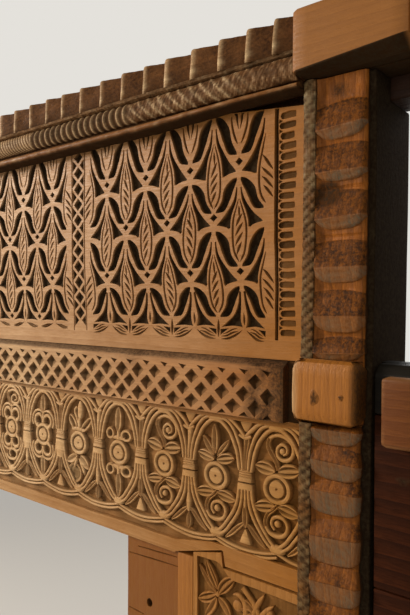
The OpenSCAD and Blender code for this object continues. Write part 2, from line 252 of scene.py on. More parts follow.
class Work:
    """Points, faces and surface marks of one piece, in millimetres. Marks are dirt and painted shade, grey
    for weathering and painted highlights, and stain and painted shade.
    """

    def __init__(self):
        self.points, self.marks, self.faces, self.count = [], [], [], 0

    def add(self, points, marks=(0, 0, 0)):
        points = np.asarray(points, float).reshape(-1, 3)
        self.points.append(points)
        self.marks.append(np.broadcast_to(np.asarray(marks, float), points.shape))
        self.count += len(points)
        return self.count - len(points)

    def sheet(self, points, marks=(0, 0, 0), ring=False, flip=False):
        """Four-sided faces through rows of points."""
        marks = np.broadcast_to(np.asarray(marks, float), points.shape).reshape(-1, 3)
        index = self.add(points, marks) + np.arange(len(marks)).reshape(points.shape[:2])
        faces = quads(np.concatenate([index, index[:, :1]], 1) if ring else index)
        self.faces += (faces[:, ::-1] if flip else faces).tolist()
        return index

    def slab(self, points, marks, back, flip=False, shade=SHADOWED):
        """A closed solid: a sheet whose two long edges run straight back to a plane."""
        front = self.sheet(points, marks, flip=flip)
        rear = []
        # The faces behind take the marks given as shade, painted shade unless told otherwise
        for column in (0, -1):
            behind = points[:, column].copy()
            behind[:, 1] = back
            rear.append(self.add(behind, shade) + np.arange(len(behind)))
        faces = []
        for a, b in ((rear[0], front[:, 0]), (front[:, -1], rear[1]), (rear[1], rear[0])):
            faces += np.stack([a[:-1], a[1:], b[1:], b[:-1]], -1).tolist()
        faces.append([*front[0].tolist(), rear[1][0], rear[0][0]])
        faces.append([*front[-1][::-1].tolist(), rear[0][-1], rear[1][-1]])
        self.faces += [face[::-1] if flip else face for face in faces]

    def build(self, name, material, slot, *nodes, tone=0, crease=38):
        """Makes the piece's mesh, its finish and its ties to the frame."""
        mesh = bpy.data.meshes.new(name)
        mesh.from_pydata((np.concatenate(self.points) * MM).tolist(), [], self.faces)
        marks = np.concatenate(self.marks)
        for column, key in enumerate(MARKS):
            layer = mesh.attributes.new(key, "FLOAT", "POINT")
            layer.data.foreach_set("value", held(marks[:, column]).astype(np.float32))
        layer = mesh.attributes.new("tone", "FLOAT", "POINT")
        layer.data.foreach_set("value", np.full(len(marks), tone, np.float32))
        mesh.validate()
        mesh.polygons.foreach_set("use_smooth", np.ones(len(mesh.polygons), bool))
        mesh.set_sharp_from_angle(angle=math.radians(crease))
        mesh.materials.append(material)
        piece = bpy.data.objects.new(name, mesh)
        bpy.context.scene.collection.objects.link(piece)
        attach(piece, "root")
        if nodes:
            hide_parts(*nodes)
        return piece


class Board(Work):
    """A board whose front lies at one depth and is cut with a knife. Its flat points are x and z."""

    def __init__(self, face, hand, seed, drift=0.4, lean=None, ground=0):
        super().__init__()
        self.face, self.hand, self.seed, self.drift = face, hand, seed, drift
        self.lean, self.ground, self.holes = lean, ground, []

    def drifted(self, flat):
        """How far the uneven front lies behind its plane."""
        return self.drift * (0.5 + 0.5 * wander(flat, self.seed + 2, 26))

    def place(self, flat, depth, dark=0):
        """Adds points at a depth below the front, moved a little as a hand would, and gives their numbers."""
        flat = np.asarray(flat, float)
        shape = flat.shape[:-1]
        flat = flat.reshape(-1, 2)
        depth, dark = (np.broadcast_to(part, shape).ravel() for part in (depth, dark))
        moved = flat + self.hand * np.stack([wander(flat, self.seed, 95), wander(flat, self.seed + 1, 80)], 1)
        moved += 0.4 * self.hand * np.stack(
            [wander(flat, self.seed + 3, 17), wander(flat, self.seed + 4, 15)], 1)
        if self.lean:
            moved[:, 0] += self.lean(flat)
        points = spots(moved[:, 0], self.face + depth + self.drifted(flat), moved[:, 1])
        return self.add(points, shades(points, dark)) + np.arange(len(flat)).reshape(shape)

    def cut(self, a, b, deep, shape=PIT, bows=(0, 0)):
        """A cut between two rails. Bows round its ends."""
        a, b = np.asarray(a, float), np.asarray(b, float)
        if turn(np.vstack([a, b[::-1]])) < 0:
            a, b = b, a
        across, down = shape.T
        flat = between(a, b, across)
        width = np.linalg.norm(b - a, axis=1)
        depth = np.minimum(deep, width * (0.85 if shape is PIT else 1.1))[:, None] * down[None]
        for row, near, bow in ((0, 1, bows[0]), (-1, -2, bows[1])):
            if bow:
                out = flat[row].mean(0) - flat[near].mean(0)
                flat[row] += out / np.linalg.norm(out) * (4 * across * (1 - across) * bow)[:, None]
        # The cut darkens with depth: old dirt and painted shade
        index = self.place(flat, depth, settled(depth))
        self.faces += quads(index).tolist()
        caps = []
        for row, bow in ((0, bows[0]), (-1, bows[1])):
            line = index[row].tolist()
            if bow or width[row] > 3:
                rim = [line[0], *self.place(flat[row, 1:-1], 0).tolist(), line[-1]]
                for j in range(len(line) - 1):
                    wall = list(dict.fromkeys([line[j], line[j + 1], rim[j + 1], rim[j]]))
                    if len(wall) > 2:
                        self.faces.append(wall if row == 0 else wall[::-1])
            else:
                rim = [line[0], line[-1]]
                self.faces.append(line[::-1] if row else line)
            caps.append(rim)
        start, end = caps
        self.holes.append(index[:, 0].tolist() + end[1:-1] + index[::-1, -1].tolist() + start[-2:0:-1])

    def groove(self, line, deep, count=7, shape=VEE, bows=(0, 0)):
        """A cut along a line given as rows of x, z and half width."""
        self.cut(*rails(curve(line, count)), deep, shape, bows)

    def pit(self, corners, heart, deep, floor=0.25):
        """A pit with straight sides down to a small floor round its heart."""
        corners = np.asarray(corners, float)
        if turn(corners) < 0:
            corners = corners[::-1]
        heart = np.asarray(heart, float)
        rim = self.place(corners, 0)
        # The walls and the floor are painted darker: old dirt and painted shade
        wall = self.place(heart + (corners - heart) * (0.86 + 0.14 * floor), 0.34 * deep, 0.62)
        low = self.place(heart + (corners - heart) * floor, deep, 1)
        index = np.stack([rim, wall, low], 1)
        self.faces += [*quads(np.vstack([index, index[:1]])).tolist(), low.tolist()]
        self.holes.append(rim.tolist())

    def sink(self, grid, depth, dark):
        """A sunk ground over a grid of flat points, with an upright wall round it."""
        index = self.place(grid, depth, dark)
        low, rim = border(index), self.place(border(grid), 0)
        walls = np.stack([rim, np.roll(rim, -1), np.roll(low, -1), low], 1)
        self.faces += quads(index).tolist() + walls.tolist()
        self.holes.append(rim.tolist())

    def ridge(self, line, top, count, shape=RIDGE):
        """A ridge that stands on the sunk ground along rows of x, z and half width."""
        line = curve(line, count)
        a, b = rails(line)
        across, down = shape.T
        flat = between(a, b, across)
        ease = held(line[:, 2] / max(line[:, 2].max(), 0.1))[:, None]
        inner = (across > 0.2) & (across < 0.8)
        share = np.where(inner[None], down[None] * ease, down[None])
        depth = top + share * (self.ground - top)
        # The ridge darkens down its sides to the ground: old dirt and painted shade
        self.shell(self.place(flat, depth, settled(depth - top, 3.4)))

    def shell(self, index):
        """Faces through rows of points, with the underside and the two ends closed."""
        under = np.stack([index[1:, 0], index[:-1, 0], index[:-1, -1], index[1:, -1]], -1)
        self.faces += quads(index).tolist() + under.tolist() + [index[0].tolist(), index[-1][::-1].tolist()]

    def dish(self, centre, profile, segments=28, squash=1):
        """A turned shape: rows of radius, depth, and dirt and painted shade from the middle outwards."""
        profile = np.asarray(profile, float)
        angle = full_turn(segments)
        flat = np.stack([np.cos(angle) * squash, np.sin(angle)], 1)[None] * profile[:, None, :1] + centre
        index = self.place(flat, profile[:, 1:2], profile[:, 2:3])
        faces = quads(np.concatenate([index, index[:, :1]], 1))
        self.faces += faces.tolist() + [index[0].tolist(), index[-1][::-1].tolist()]

    def close(self, outline, back, step=40):
        """The front round all the cuts, the sides and the back."""
        corners = np.asarray(outline, float)
        rim = []
        for a, b in zip(corners, np.roll(corners, -1, axis=0)):
            count = max(1, round(np.linalg.norm(b - a) / step))
            rim += [a + (b - a) * i / count for i in range(count)]
        rim = np.array(rim)
        near = self.add(spots(rim[:, 0], self.face + self.drifted(rim), rim[:, 1])) + np.arange(len(rim))
        loop = near.tolist()
        points = np.concatenate(self.points)
        used = [i for chain in [loop, *self.holes] for i in chain]
        flat = [Vector((points[i, 0], points[i, 2])) for i in used]
        chains, start = [], 0
        for chain in [loop, *self.holes]:
            chains.append(list(range(start, start + len(chain))))
            start += len(chain)
        made, _, faces, sources, _, inside = delaunay_2d_cdt(flat, [], chains, 1, 1e-5, True)
        index = []
        for place, source in zip(made, sources):
            index.append(used[source[0]] if source else self.add([(place.x, self.face, place.y)]))
        for face, owners in zip(faces, inside):
            if owners == [0]:
                ids = [index[i] for i in face]
                if len(set(ids)) == len(ids):
                    self.faces.append(ids)
        far = self.add(spots(rim[:, 0], back, rim[:, 1])) + np.arange(len(rim))
        sides = np.stack([np.roll(near, -1), near, far, np.roll(far, -1)], 1)
        self.faces += sides.tolist() + [far[::-1].tolist()]


def section(low, high, gap=SKIN, back=SKIN):
    """A node's outline across x, a little inside it."""
    return oblong(low[1] + gap, low[2] + gap, high[1] - back, high[2] - gap)


def timber(work, outline, axis, start, end, seed, wear=4, rough=0.8, step=70, marks=(0, 0, 0)):
    """A hewn timber: a flat outline run along an axis, with worn arrises and a slightly uneven surface."""
    corners = np.asarray(outline, float)
    wears = np.broadcast_to(np.asarray(wear, float), len(corners))
    wear = float(np.max(wears))
    if turn(corners) < 0:
        corners, wears = corners[::-1], wears[::-1]
    arcs = []
    for i, corner in enumerate(corners):
        before, after = corners[i - 1] - corner, corners[(i + 1) % len(corners)] - corner
        reach = [min(wears[i], np.linalg.norm(side) * 0.4) for side in (before, after)]
        a = corner + before / np.linalg.norm(before) * reach[0]
        b = corner + after / np.linalg.norm(after) * reach[1]
        arcs.append([
            (1 - t) ** 2 * a + 2 * t * (1 - t) * corner + t * t * b for t in (0, 0.25, 0.5, 0.75, 1)])
    ring = []
    for arc, after in zip(arcs, arcs[1:] + arcs[:1]):
        ring += arc
        spare = int(np.linalg.norm(after[0] - arc[-1]) / step) if step <= 30 else 0
        ring += [arc[-1] + (after[0] - arc[-1]) * t for t in np.linspace(0, 1, spare + 2)[1:-1]]
    ring = np.array(ring)
    way = np.roll(ring, -1, axis=0) - np.roll(ring, 1, axis=0)
    way /= np.maximum(np.linalg.norm(way, axis=1), 1e-6)[:, None]
    inward = np.stack([-way[:, 1], way[:, 0]], 1)
    low, high = min(start, end), max(start, end)
    count = max(2, round((high - low - 2 * wear) / step) + 1)
    middle = np.linspace(low + wear, high - wear, count)[1:-1]
    along = np.array((low, low + wear * 0.3, low + wear, *middle, high - wear, high - wear * 0.3, high))
    inset = np.zeros(len(along))
    inset[[0, 1, -2, -1]] = wear * 0.9, wear * 0.3, wear * 0.3, wear * 0.9
    flat = ring[None] + inward[None] * inset[:, None, None]
    solid = spots(flat[..., 0], flat[..., 1], along[:, None])
    dent = rough * (0.5 + 0.5 * wander(solid, seed, 60)) + rough * (0.5 + 0.5 * wander(solid, seed + 5, 240))
    solid[..., :2] += inward[None] * dent[..., None]
    order = {"X": (2, 0, 1), "Z": (0, 1, 2)}[axis]
    solid = solid[..., order]
    index = work.sheet(solid, marks, ring=True, flip=True)
    work.faces += [index[0][::-1].tolist(), index[-1].tolist()]


# Finishes


def add_node(tree, kind, inputs=(), **settings):
    """Adds one node. Its inputs, named or in order, are values or links as (node, output name or number)."""
    node = tree.nodes.new("ShaderNode" + kind)
    for key, value in settings.items():
        setattr(node, key, value)
    for key, value in inputs.items() if isinstance(inputs, dict) else enumerate(inputs):
        if isinstance(value, tuple) and isinstance(value[0], bpy.types.Node):
            tree.links.new(value[0].outputs[value[1]], node.inputs[key])
        else:
            node.inputs[key].default_value = value
    return node


# Metres between the bands of a wave texture of scale 1, and how far the grain is drawn out along a timber
WAVE_LENGTH = 0.314
GRAIN_STRETCH = 0.09
BANDS = {"X": "Z", "Y": "DIAGONAL", "Z": "X"}


def cedar(name, light, dark, grain="X", ring=7, contrast=0.55, rough=(0.42, 0.68), relief=0.5, blotch=0.35,
          grime_and_shade=1, far=None, worn=None, gloss=0.2):
    """A cedar finish: growth rings, fibres, blotches, old dirt and painted shade in the cuts, worn edges and
    painted highlights, and dark stain that also paints shade. Towards the posts the light colour turns into
    the far one."""
    colours = palette()
    material = bpy.data.materials.new(name)
    material.use_nodes = True
    material.node_tree.nodes.clear()
    add = partial(add_node, material.node_tree)
    place = add("TexCoord")
    marks = {key: (add("Attribute", attribute_name=key), "Fac") for key in (*MARKS, "tone")}
    stretch = tuple(GRAIN_STRETCH if axis == grain else 1 for axis in "XYZ")
    shift = add("VectorMath", (marks["tone"], (3.1, 5.7, 4.3)), operation="MULTIPLY")
    grainy = add("VectorMath", ((place, "Object"), stretch, (shift, 0)), operation="MULTIPLY_ADD")
    inputs = {"Vector": (grainy, 0), "Scale": WAVE_LENGTH / (ring * MM * 2), "Distortion": 9, "Detail": 2,
              "Detail Scale": 0.6, "Detail Roughness": 0.6}
    rings = add("TexWave", inputs, bands_direction=BANDS[grain], wave_profile="SAW")
    # Vector, millimetres from one fleck to the next, detail and roughness of the four unevennesses
    noises = []
    for vector, size, detail, part in (
        ((grainy, 0), 2.6, 3, 0.65), ((grainy, 0), 45, 3, 0.6),
        ((place, "Object"), 110, 5, 0.6), ((place, "Object"), 5, 3, 0.7),
    ):
        inputs = {"Vector": vector, "Scale": 1 / (size * MM), "Detail": detail, "Roughness": part}
        noises.append((add("TexNoise", inputs), "Fac"))
    fibres, figure, patches, specks = noises
    colour = light
    # The paler middle stands partly for worn wood and partly for painted sheen; towards the posts the colour
    # turns amber
    if far:
        apart = add("SeparateXYZ", ((place, "Object"),))
        reach = add("Math", ((apart, 0), 0), operation="ABSOLUTE")
        ragged = add("MapRange", (patches, 0.3, 0.7, -0.1, 0.1))
        reach = add("Math", ((reach, 0), (ragged, 0)), operation="ADD")
        share = add("MapRange", ((reach, 0), 0.02, 0.72, 0, 1))
        colour = (add("Mix", {0: (share, 0), 6: light, 7: far}, data_type="RGBA"), 2)
    warm = tuple(a * 0.55 + b * 0.45 for a, b in zip(light, dark))
    # What drives each layer of colour, where it starts and is full, how strong it gets, and its colour
    for source, start, full, strength, layer in (
        ((rings, "Fac"), 0.1, 1, contrast, dark),
        (fibres, 0.42, 0.72, contrast, dark),
        (figure, 0.4, 0.75, blotch, warm),
        (patches, 0.45, 0.75, blotch, dark),
    ):
        share = add("MapRange", (source, start, full, 0, strength))
        colour = (add("Mix", {0: (share, 0), 6: colour, 7: layer}, data_type="RGBA"), 2)
    # Grey sits on the fibres, stain in specks; grey also paints highlights on arrises and crests, stain also
    # paints shade
    for mark, ragged, layer in (
        ("grey", (fibres, 0.35, 0.62, 1, 0.55), linear(worn) if worn else colours.silver),
        ("stain", (specks, 0.36, 0.62, 0.4, 1), colours.stain),
    ):
        share = add("MapRange", ragged)
        share = add("Math", (marks[mark], (share, 0)), operation="MULTIPLY")
        colour = (add("Mix", {0: (share, 0), 6: colour, 7: layer}, data_type="RGBA"), 2)
    # Old dirt with dust over it, which also paints the shade in recesses, under things and on hidden faces
    share = add("MapRange", (specks, 0.38, 0.68, 0, 0.45))
    dirt_dust_and_shade = add("Mix", {0: (share, 0), 6: colours.dirt, 7: colours.dust}, data_type="RGBA")
    share = add("Math", (marks["dirt"], grime_and_shade), operation="MULTIPLY")
    colour = (add("Mix", {0: (share, 0), 6: colour, 7: (dirt_dust_and_shade, 2)}, data_type="RGBA"), 2)
    shine = add("MapRange", (fibres, 0.35, 0.7, *rough))
    dull = add("Mix", {0: marks["dirt"], 2: (shine, 0), 3: 0.92}, data_type="FLOAT")
    # Less sheen where dirt, stain and painted shade lie
    darkest_mark = add("Math", (marks["dirt"], marks["stain"]), operation="MAXIMUM")
    sheen = add("MapRange", ((darkest_mark, 0), 0, 1, gloss, 0.06))
    # Fibres stand highest, growth rings and specks lower
    height = add("Math", ((rings, "Fac"), 0.35), operation="MULTIPLY")
    height = add("Math", ((height, 0), fibres), operation="ADD")
    speckled = add("Math", (specks, 0.6), operation="MULTIPLY")
    height = add("Math", ((height, 0), (speckled, 0)), operation="ADD")
    bump = add("Bump", {"Strength": relief, "Distance": 0.9 * MM, "Height": (height, 0)})
    inputs = {"Base Color": colour, "Roughness": (dull, 0), "IOR": 1.5, "Specular IOR Level": (sheen, 0),
              "Normal": (bump, 0)}
    shader = add("BsdfPrincipled", inputs)
    add("OutputMaterial", {"Surface": (shader, 0)})
    return material


def darker(colour, share):
    """The colour with that share of its light."""
    return tuple(c * share for c in colour[:3]) + (1,)


def tinted(colour, text, share):
    """The colour mixed with a share of another one, given as sRGB hex."""
    other = linear(text)
    return tuple(a * (1 - share) + b * share for a, b in zip(colour[:3], other[:3])) + (1,)


# The tulip panel

# Heights of the crossing points of the tulip rows, from the top row down
TULIP_ROWS = (2067, 1966.5, 1887.5, 1800, 1724)
TULIP_PITCH = 100
CHAIN_LINES = (213, 250)
COMB_LINE = 683

# Half a tulip cell: millimetres from the column, and share of the way from its lower to its upper crossing
CRESCENT_INNER = (
    (46, 0.912), (40, 0.903), (34.5, 0.875), (28.8, 0.828), (23.5, 0.765), (20, 0.7), (18.2, 0.63),
    (16.4, 0.535), (12.6, 0.434), (7.8, 0.358), (4.4, 0.3))
CRESCENT_OUTER = (
    (46.3, 0.862), (43.4, 0.775), (40.5, 0.705), (37, 0.62), (34, 0.54), (31, 0.475), (28, 0.4),
    (24.6, 0.335), (20.5, 0.285), (12.5, 0.268), (4.4, 0.262))
WEDGE_INNER = (
    (2.6, 1.72), (3.4, 1.6), (4.6, 1.5), (6.8, 1.42), (9.8, 1.34), (12.8, 1.25), (15, 1.15), (16.6, 1.04),
    (17.3, 0.94), (18.6, 0.925), (22.5, 0.957), (30, 0.985), (38, 1.003), (43.5, 1.012))
WEDGE_OUTER = (
    (5.2, 1.73), (6.4, 1.64), (8.4, 1.56), (11.4, 1.48), (15.6, 1.4), (21.2, 1.307), (29, 1.2), (37, 1.1),
    (43.5, 1.03))
LEAF_GROOVE = (
    (1, 1.5, 0.5), (3.2, 1.42, 1.2), (6.6, 1.3, 1.6), (9.8, 1.18, 1.8), (12, 1.05, 2), (12.9, 0.92, 2.1),
    (13, 0.8, 2.1), (12.2, 0.68, 2.1), (10.4, 0.56, 2), (7, 0.46, 1.9), (3.2, 0.39, 1.5), (1.1, 0.352, 0.5))
PETAL_GROOVE = ((15.6, 0.86, 1.2), (14.4, 0.73, 2), (11, 0.59, 2.2), (6.4, 0.48, 1.8), (3, 0.425, 0.7))
PETAL_OUTER = ((10.8, 0.965), (8.8, 0.88), (6.8, 0.79), (4.2, 0.71), (1.9, 0.645))
PETAL_INNER = ((3.4, 0.965), (3.1, 0.88), (2.6, 0.79), (1.7, 0.71), (0.7, 0.645))
# Millimetres from the column and above the last row's crossings
SPEAR_EDGE = ((2.3, 60), (3, 48), (4.8, 36), (7, 24), (6.8, 15), (4.6, 8.5), (3, 5))
CUP_EDGE = ((6, 62), (7.2, 54), (8.8, 45), (12.2, 36), (16.4, 28), (22.5, 21), (30, 15), (38, 9), (45, 4.5))


def tulip_cell(board, column, heights, side, parts, deep):
    """Cuts one half of a tulip cell."""
    low, upper, top = heights

    def flat(rows):
        rows = np.asarray(rows, float)
        v = rows[:, 1]
        z = np.where(v <= 1, low + v * (upper - low), upper + (v - 1) * (top - upper))
        out = rows.copy()
        out[:, 0] = column + side * rows[:, 0]
        out[:, 1] = np.minimum(z, tulip_ceiling(out[:, 0]))
        return out

    def cut(inner, outer, count, depth):
        board.cut(curve(flat(inner), count), curve(flat(outer), count), depth)

    if "crescent" in parts:
        cut(CRESCENT_INNER, CRESCENT_OUTER, 18, deep.crescent)
    if "spear" in parts:
        inner, outer = (
            curve([(column + side * x, low + up) for x, up in edge], 12) for edge in (SPEAR_EDGE, CUP_EDGE))
        board.cut(inner, outer, deep.recess, bows=(0, -2.5))
    if "wedge" in parts:
        cut(WEDGE_INNER, WEDGE_OUTER, 20, deep.recess)
    if "leaf" in parts:
        board.groove(flat(LEAF_GROOVE), deep.groove, 16)
    if "petal" in parts:
        board.groove(flat(PETAL_GROOVE), deep.groove, 8)
        cut(PETAL_OUTER, PETAL_INNER, 6, deep.recess * 0.8)


def leaf_veins(board, column, heights, lean, half, deep):
    """Slanting knife cuts inside a leaf; half keeps those on one side of it."""
    low, upper, top = heights
    cuts = [(0.56 + 0.17 * k, None) for k in range(4)]
    if not half:
        cuts.append((1.12, ((0.6, 1.14), (-0.4, 1.38))))
    for v, ends in cuts:
        width = np.interp(v, (0.5, 0.65, 0.85, 1.05, 1.25), (5, 8.2, 10, 8.6, 5.5))
        if half:
            ends = ((-half * 12.2, v - 0.11), (half * width * 0.88, v + 0.14))
        elif ends is None:
            ends = ((lean * width * 0.84, v - 0.1), (-lean * width * 0.72, v + 0.14))
        rows = []
        for t, w in ((0, 0.4), (0.3, 2.3), (0.65, 2.4), (1, 0.4)):
            x = ends[0][0] + (ends[1][0] - ends[0][0]) * t
            y = ends[0][1] + (ends[1][1] - ends[0][1]) * t + 0.02 * math.sin(math.pi * t)
            z = low + y * (upper - low) if y <= 1 else upper + (y - 1) * (top - upper)
            rows.append((column + x, z, w * (0.8 if v > 1.1 else 1)))
        board.groove(rows, deep.groove, 7)


def tulip_ceiling(x):
    """The highest carved point, behind the bead and along the worn corner at the right."""
    return np.interp(x, (574, 577, 751), (2064.5, 2059.5, 2042))


def tulip_lean(flat):
    """The carver's columns drift to the right towards the foot of the panel, between the two combs."""
    reach = np.interp(
        flat[:, 0], (-700, -674, -610, -330, -256, -205, 205, 256, 330, 610, 674),
        (0, 0, 8, 8, 8, 8, 8, 8, 12, 12, 0))
    fall = held((1852 - flat[:, 1]) / 125)
    return reach * fall * fall * (3 - 2 * fall)


def tulip_field(board, columns, halves, edges, deep, rng):
    """One field of tulips: columns hold the second and fourth rows' crossings, halves the others."""
    z = TULIP_ROWS
    both = {"crescent", "wedge", "leaf"}
    left_edge, right_edge = edges
    wide, high = 7.4, 6.2

    def sides(x):
        return [s for s in SIDES if left_edge - 1 < x + s * 45 < right_edge + 1]

    for x in columns:
        for side in sides(x):
            tulip_cell(board, x, (z[1], z[0], z[0] + 90), side, {"crescent", "petal"}, deep)
            tulip_cell(board, x, (z[3], z[2], z[1]), side, both, deep)
            tulip_cell(board, x, (z[4], z[3], z[2]), side, {"spear"}, deep)
            tuft_leaf(board, x, z[4], side, deep)
        for low in (z[1], z[3]):
            diamond(board, (x, low + 15.7), wide, high, deep.recess * 0.9)
        leaf_veins(board, x, (z[3], z[2], z[1]), rng.choice(SIDES), 0, deep)
        board.groove(
            ((x, z[4] + 28, 0.6), (x, z[4] + 21, 2.1), (x, z[4] + 14, 2.1), (x, z[4] + 9, 0.6)),
            deep.groove * 1.2, 7)
    for x in halves:
        inner = sides(x)
        whole = len(inner) == 2
        cells = (z[2], z[1], z[0]), (z[4], z[3], z[2])
        for side in inner:
            for heights in cells:
                tulip_cell(board, x, heights, side, both, deep)
        for heights in cells:
            lean, half = (rng.choice(SIDES), 0) if whole else (1, inner[0])
            leaf_veins(board, x, heights, lean, half, deep)
        if not whole:
            continue
        diamond(board, (x, z[2] + 14), wide, high, deep.recess * 0.9)
        if abs(x) < 210:
            diamond(board, (x, z[4] + 13), wide * 0.9, high * 0.95, deep.recess * 0.9)
        else:
            board.groove(
                ((x, z[4] + 16, 0.6), (x, z[4] + 9, 2.3), (x, z[4] - 3, 2.3), (x, z[4] - 11, 0.6)),
                deep.groove * 1.2, 7)


def diamond(board, centre, wide, high, deep):
    """A pit with four sides, its floor a little to the left."""
    x, z = centre
    board.pit(((x - wide, z), (x, z - high), (x + wide, z), (x, z + high)), (x - 0.6, z), deep, 0.62)


def tuft_leaf(board, x, low, side, deep):
    """The leaf that hangs from a spear's foot out to the next foot."""
    flat = abs(x) < 210
    drop = 0.6 if flat else 1

    def rows(shape):
        return [(x + side * across, low + (up * drop if up < 0 else up), half) for across, up, half in shape]

    board.groove(rows(((5, 0.5, 0.4), (15, -6, 1.8), (28, -12, 2.3), (44, -14, 0.5))), deep.groove, 9)
    board.groove(rows(((12, -1.5, 0.4), (22, -3.5, 1.5), (34, -8.5, 1.7), (44, -9.5, 0.4))), deep.groove, 8)
    if not flat:
        board.pit(((x + side * 46, low + 1.5), (x + side * 30, low + 3), (x + side * 46, low - 7.5)),
                  (x + side * 41.5, low - 0.6), deep.recess * 0.6, 0.5)
        board.groove(rows(((14, 3, 0.4), (22, 1.5, 1.2), (32, -3, 1.3), (41, -6, 0.4))), deep.groove * 0.8, 7)


def chain_band(board, centre, low, high, deep):
    """A column of chained diamonds between two lines."""
    pitch = 29.7
    count = int((high - low) / pitch)
    first = high - 14
    for k in range(count):
        z = first - k * pitch
        diamond(board, (centre, z), 12.4, 12.2, deep.recess * 0.85)
        below = z - pitch / 2
        if below - 9 > low:
            for side in SIDES:
                edge = centre + side * 16.2
                board.pit(((edge, below - 11.2), (edge, below + 11.2), (centre + side * 4, below)),
                          (edge - side * 3.6, below), deep.recess * 0.7, 0.5)


def comb_band(board, line, side, low, high, deep):
    """A column of shallow round-headed pits with raised rims, and the notches between their heads."""
    pitch = 14.2
    count = int((high - low) / pitch)
    rng = default_rng(37)
    for k in range(count):
        z = low + pitch * (k + 0.6)
        x0, x1 = line + side * (9 + rng.uniform(-1.2, 1.2)), line + side * (31 + rng.uniform(-2.5, 1.5))
        if z + 6 > tulip_ceiling(x1):
            break
        tall = 5.4 + rng.uniform(-0.5, 0.3)
        board.groove(
            ((x0, z, tall * 0.9), ((x0 + x1) / 2, z + rng.uniform(-0.5, 0.5), tall), (x1, z, tall * 0.9)),
            deep.groove * rng.uniform(0.8, 1.3), 5, PIT, bows=(3.6, 0.8))
        if k:
            board.groove(((line + side * 4.4, z - pitch / 2, 3.4), (line + side * 10.5, z - pitch / 2, 0.6)),
                         deep.groove * 0.9, 3)


class SCREEN_OT_tulip_panel(bpy.types.Operator):
    """Carves the tulip panel: three fields of tulips, two chains and two combs"""

    bl_idname = "screen.tulip_panel"
    bl_label = "Tulip Panel"

    def execute(self, context):
        deep = sizes()
        low, high = box("tulip_panel")
        rng = default_rng(17)
        board = Board(0, deep.hand, 40, lean=tulip_lean)
        bottom = low[2]
        field_low = bottom + 28
        middle = [k * TULIP_PITCH + 50 for k in range(-2, 2)]
        tulip_field(board, middle, [k * TULIP_PITCH for k in range(-2, 3)], (-207, 207), deep, rng)
        right = [314, 416, 516, 616]
        right_halves = [264, 365, 466, 566, 666]
        tulip_field(board, right, right_halves, (256, 677), deep, rng)
        tulip_field(board, [-x for x in right], [-x for x in right_halves], (-677, -256), deep, rng)
        for side in SIDES:
            for line in (*CHAIN_LINES, COMB_LINE):
                x = side * line
                top = float(tulip_ceiling(x))
                wide = 3.5 if line == COMB_LINE else 1.7
                board.groove(
                    ((x, field_low, wide * 0.8), (x + 0.6, (field_low + top) / 2, wide), (x, top, wide)),
                    deep.recess, 24)
            chain_band(board, side * sum(CHAIN_LINES) / 2, field_low + 4, 2058, deep)
            comb_band(board, side * COMB_LINE, side, field_low + 2, 2060, deep)
        # The panel's upper right corner is worn away
        start, foot, _, head = oblong(low[0] + SKIN, bottom + SKIN, high[0] - SKIN, high[2] - SKIN)
        worn = ((foot[0], 2043.5), (576, 2061), (575, head[1]))
        board.close((start, foot, *worn, head), high[1] - SKIN)
        colours = palette()
        # Cedar cut with a knife and worn by touch: pale crisp ridges over dark recesses, dusty and painted
        # with shade
        material = cedar("cedar_knife_carved", colours.carved, darker(colours.amber, 0.62), "X",
                         ring=9, contrast=0.32, blotch=0.25, far=colours.amber)
        board.build("tulip_panel_carved", material, "cedar_carved", "tulip_panel")
        return {"FINISHED"}


# The lattice rail


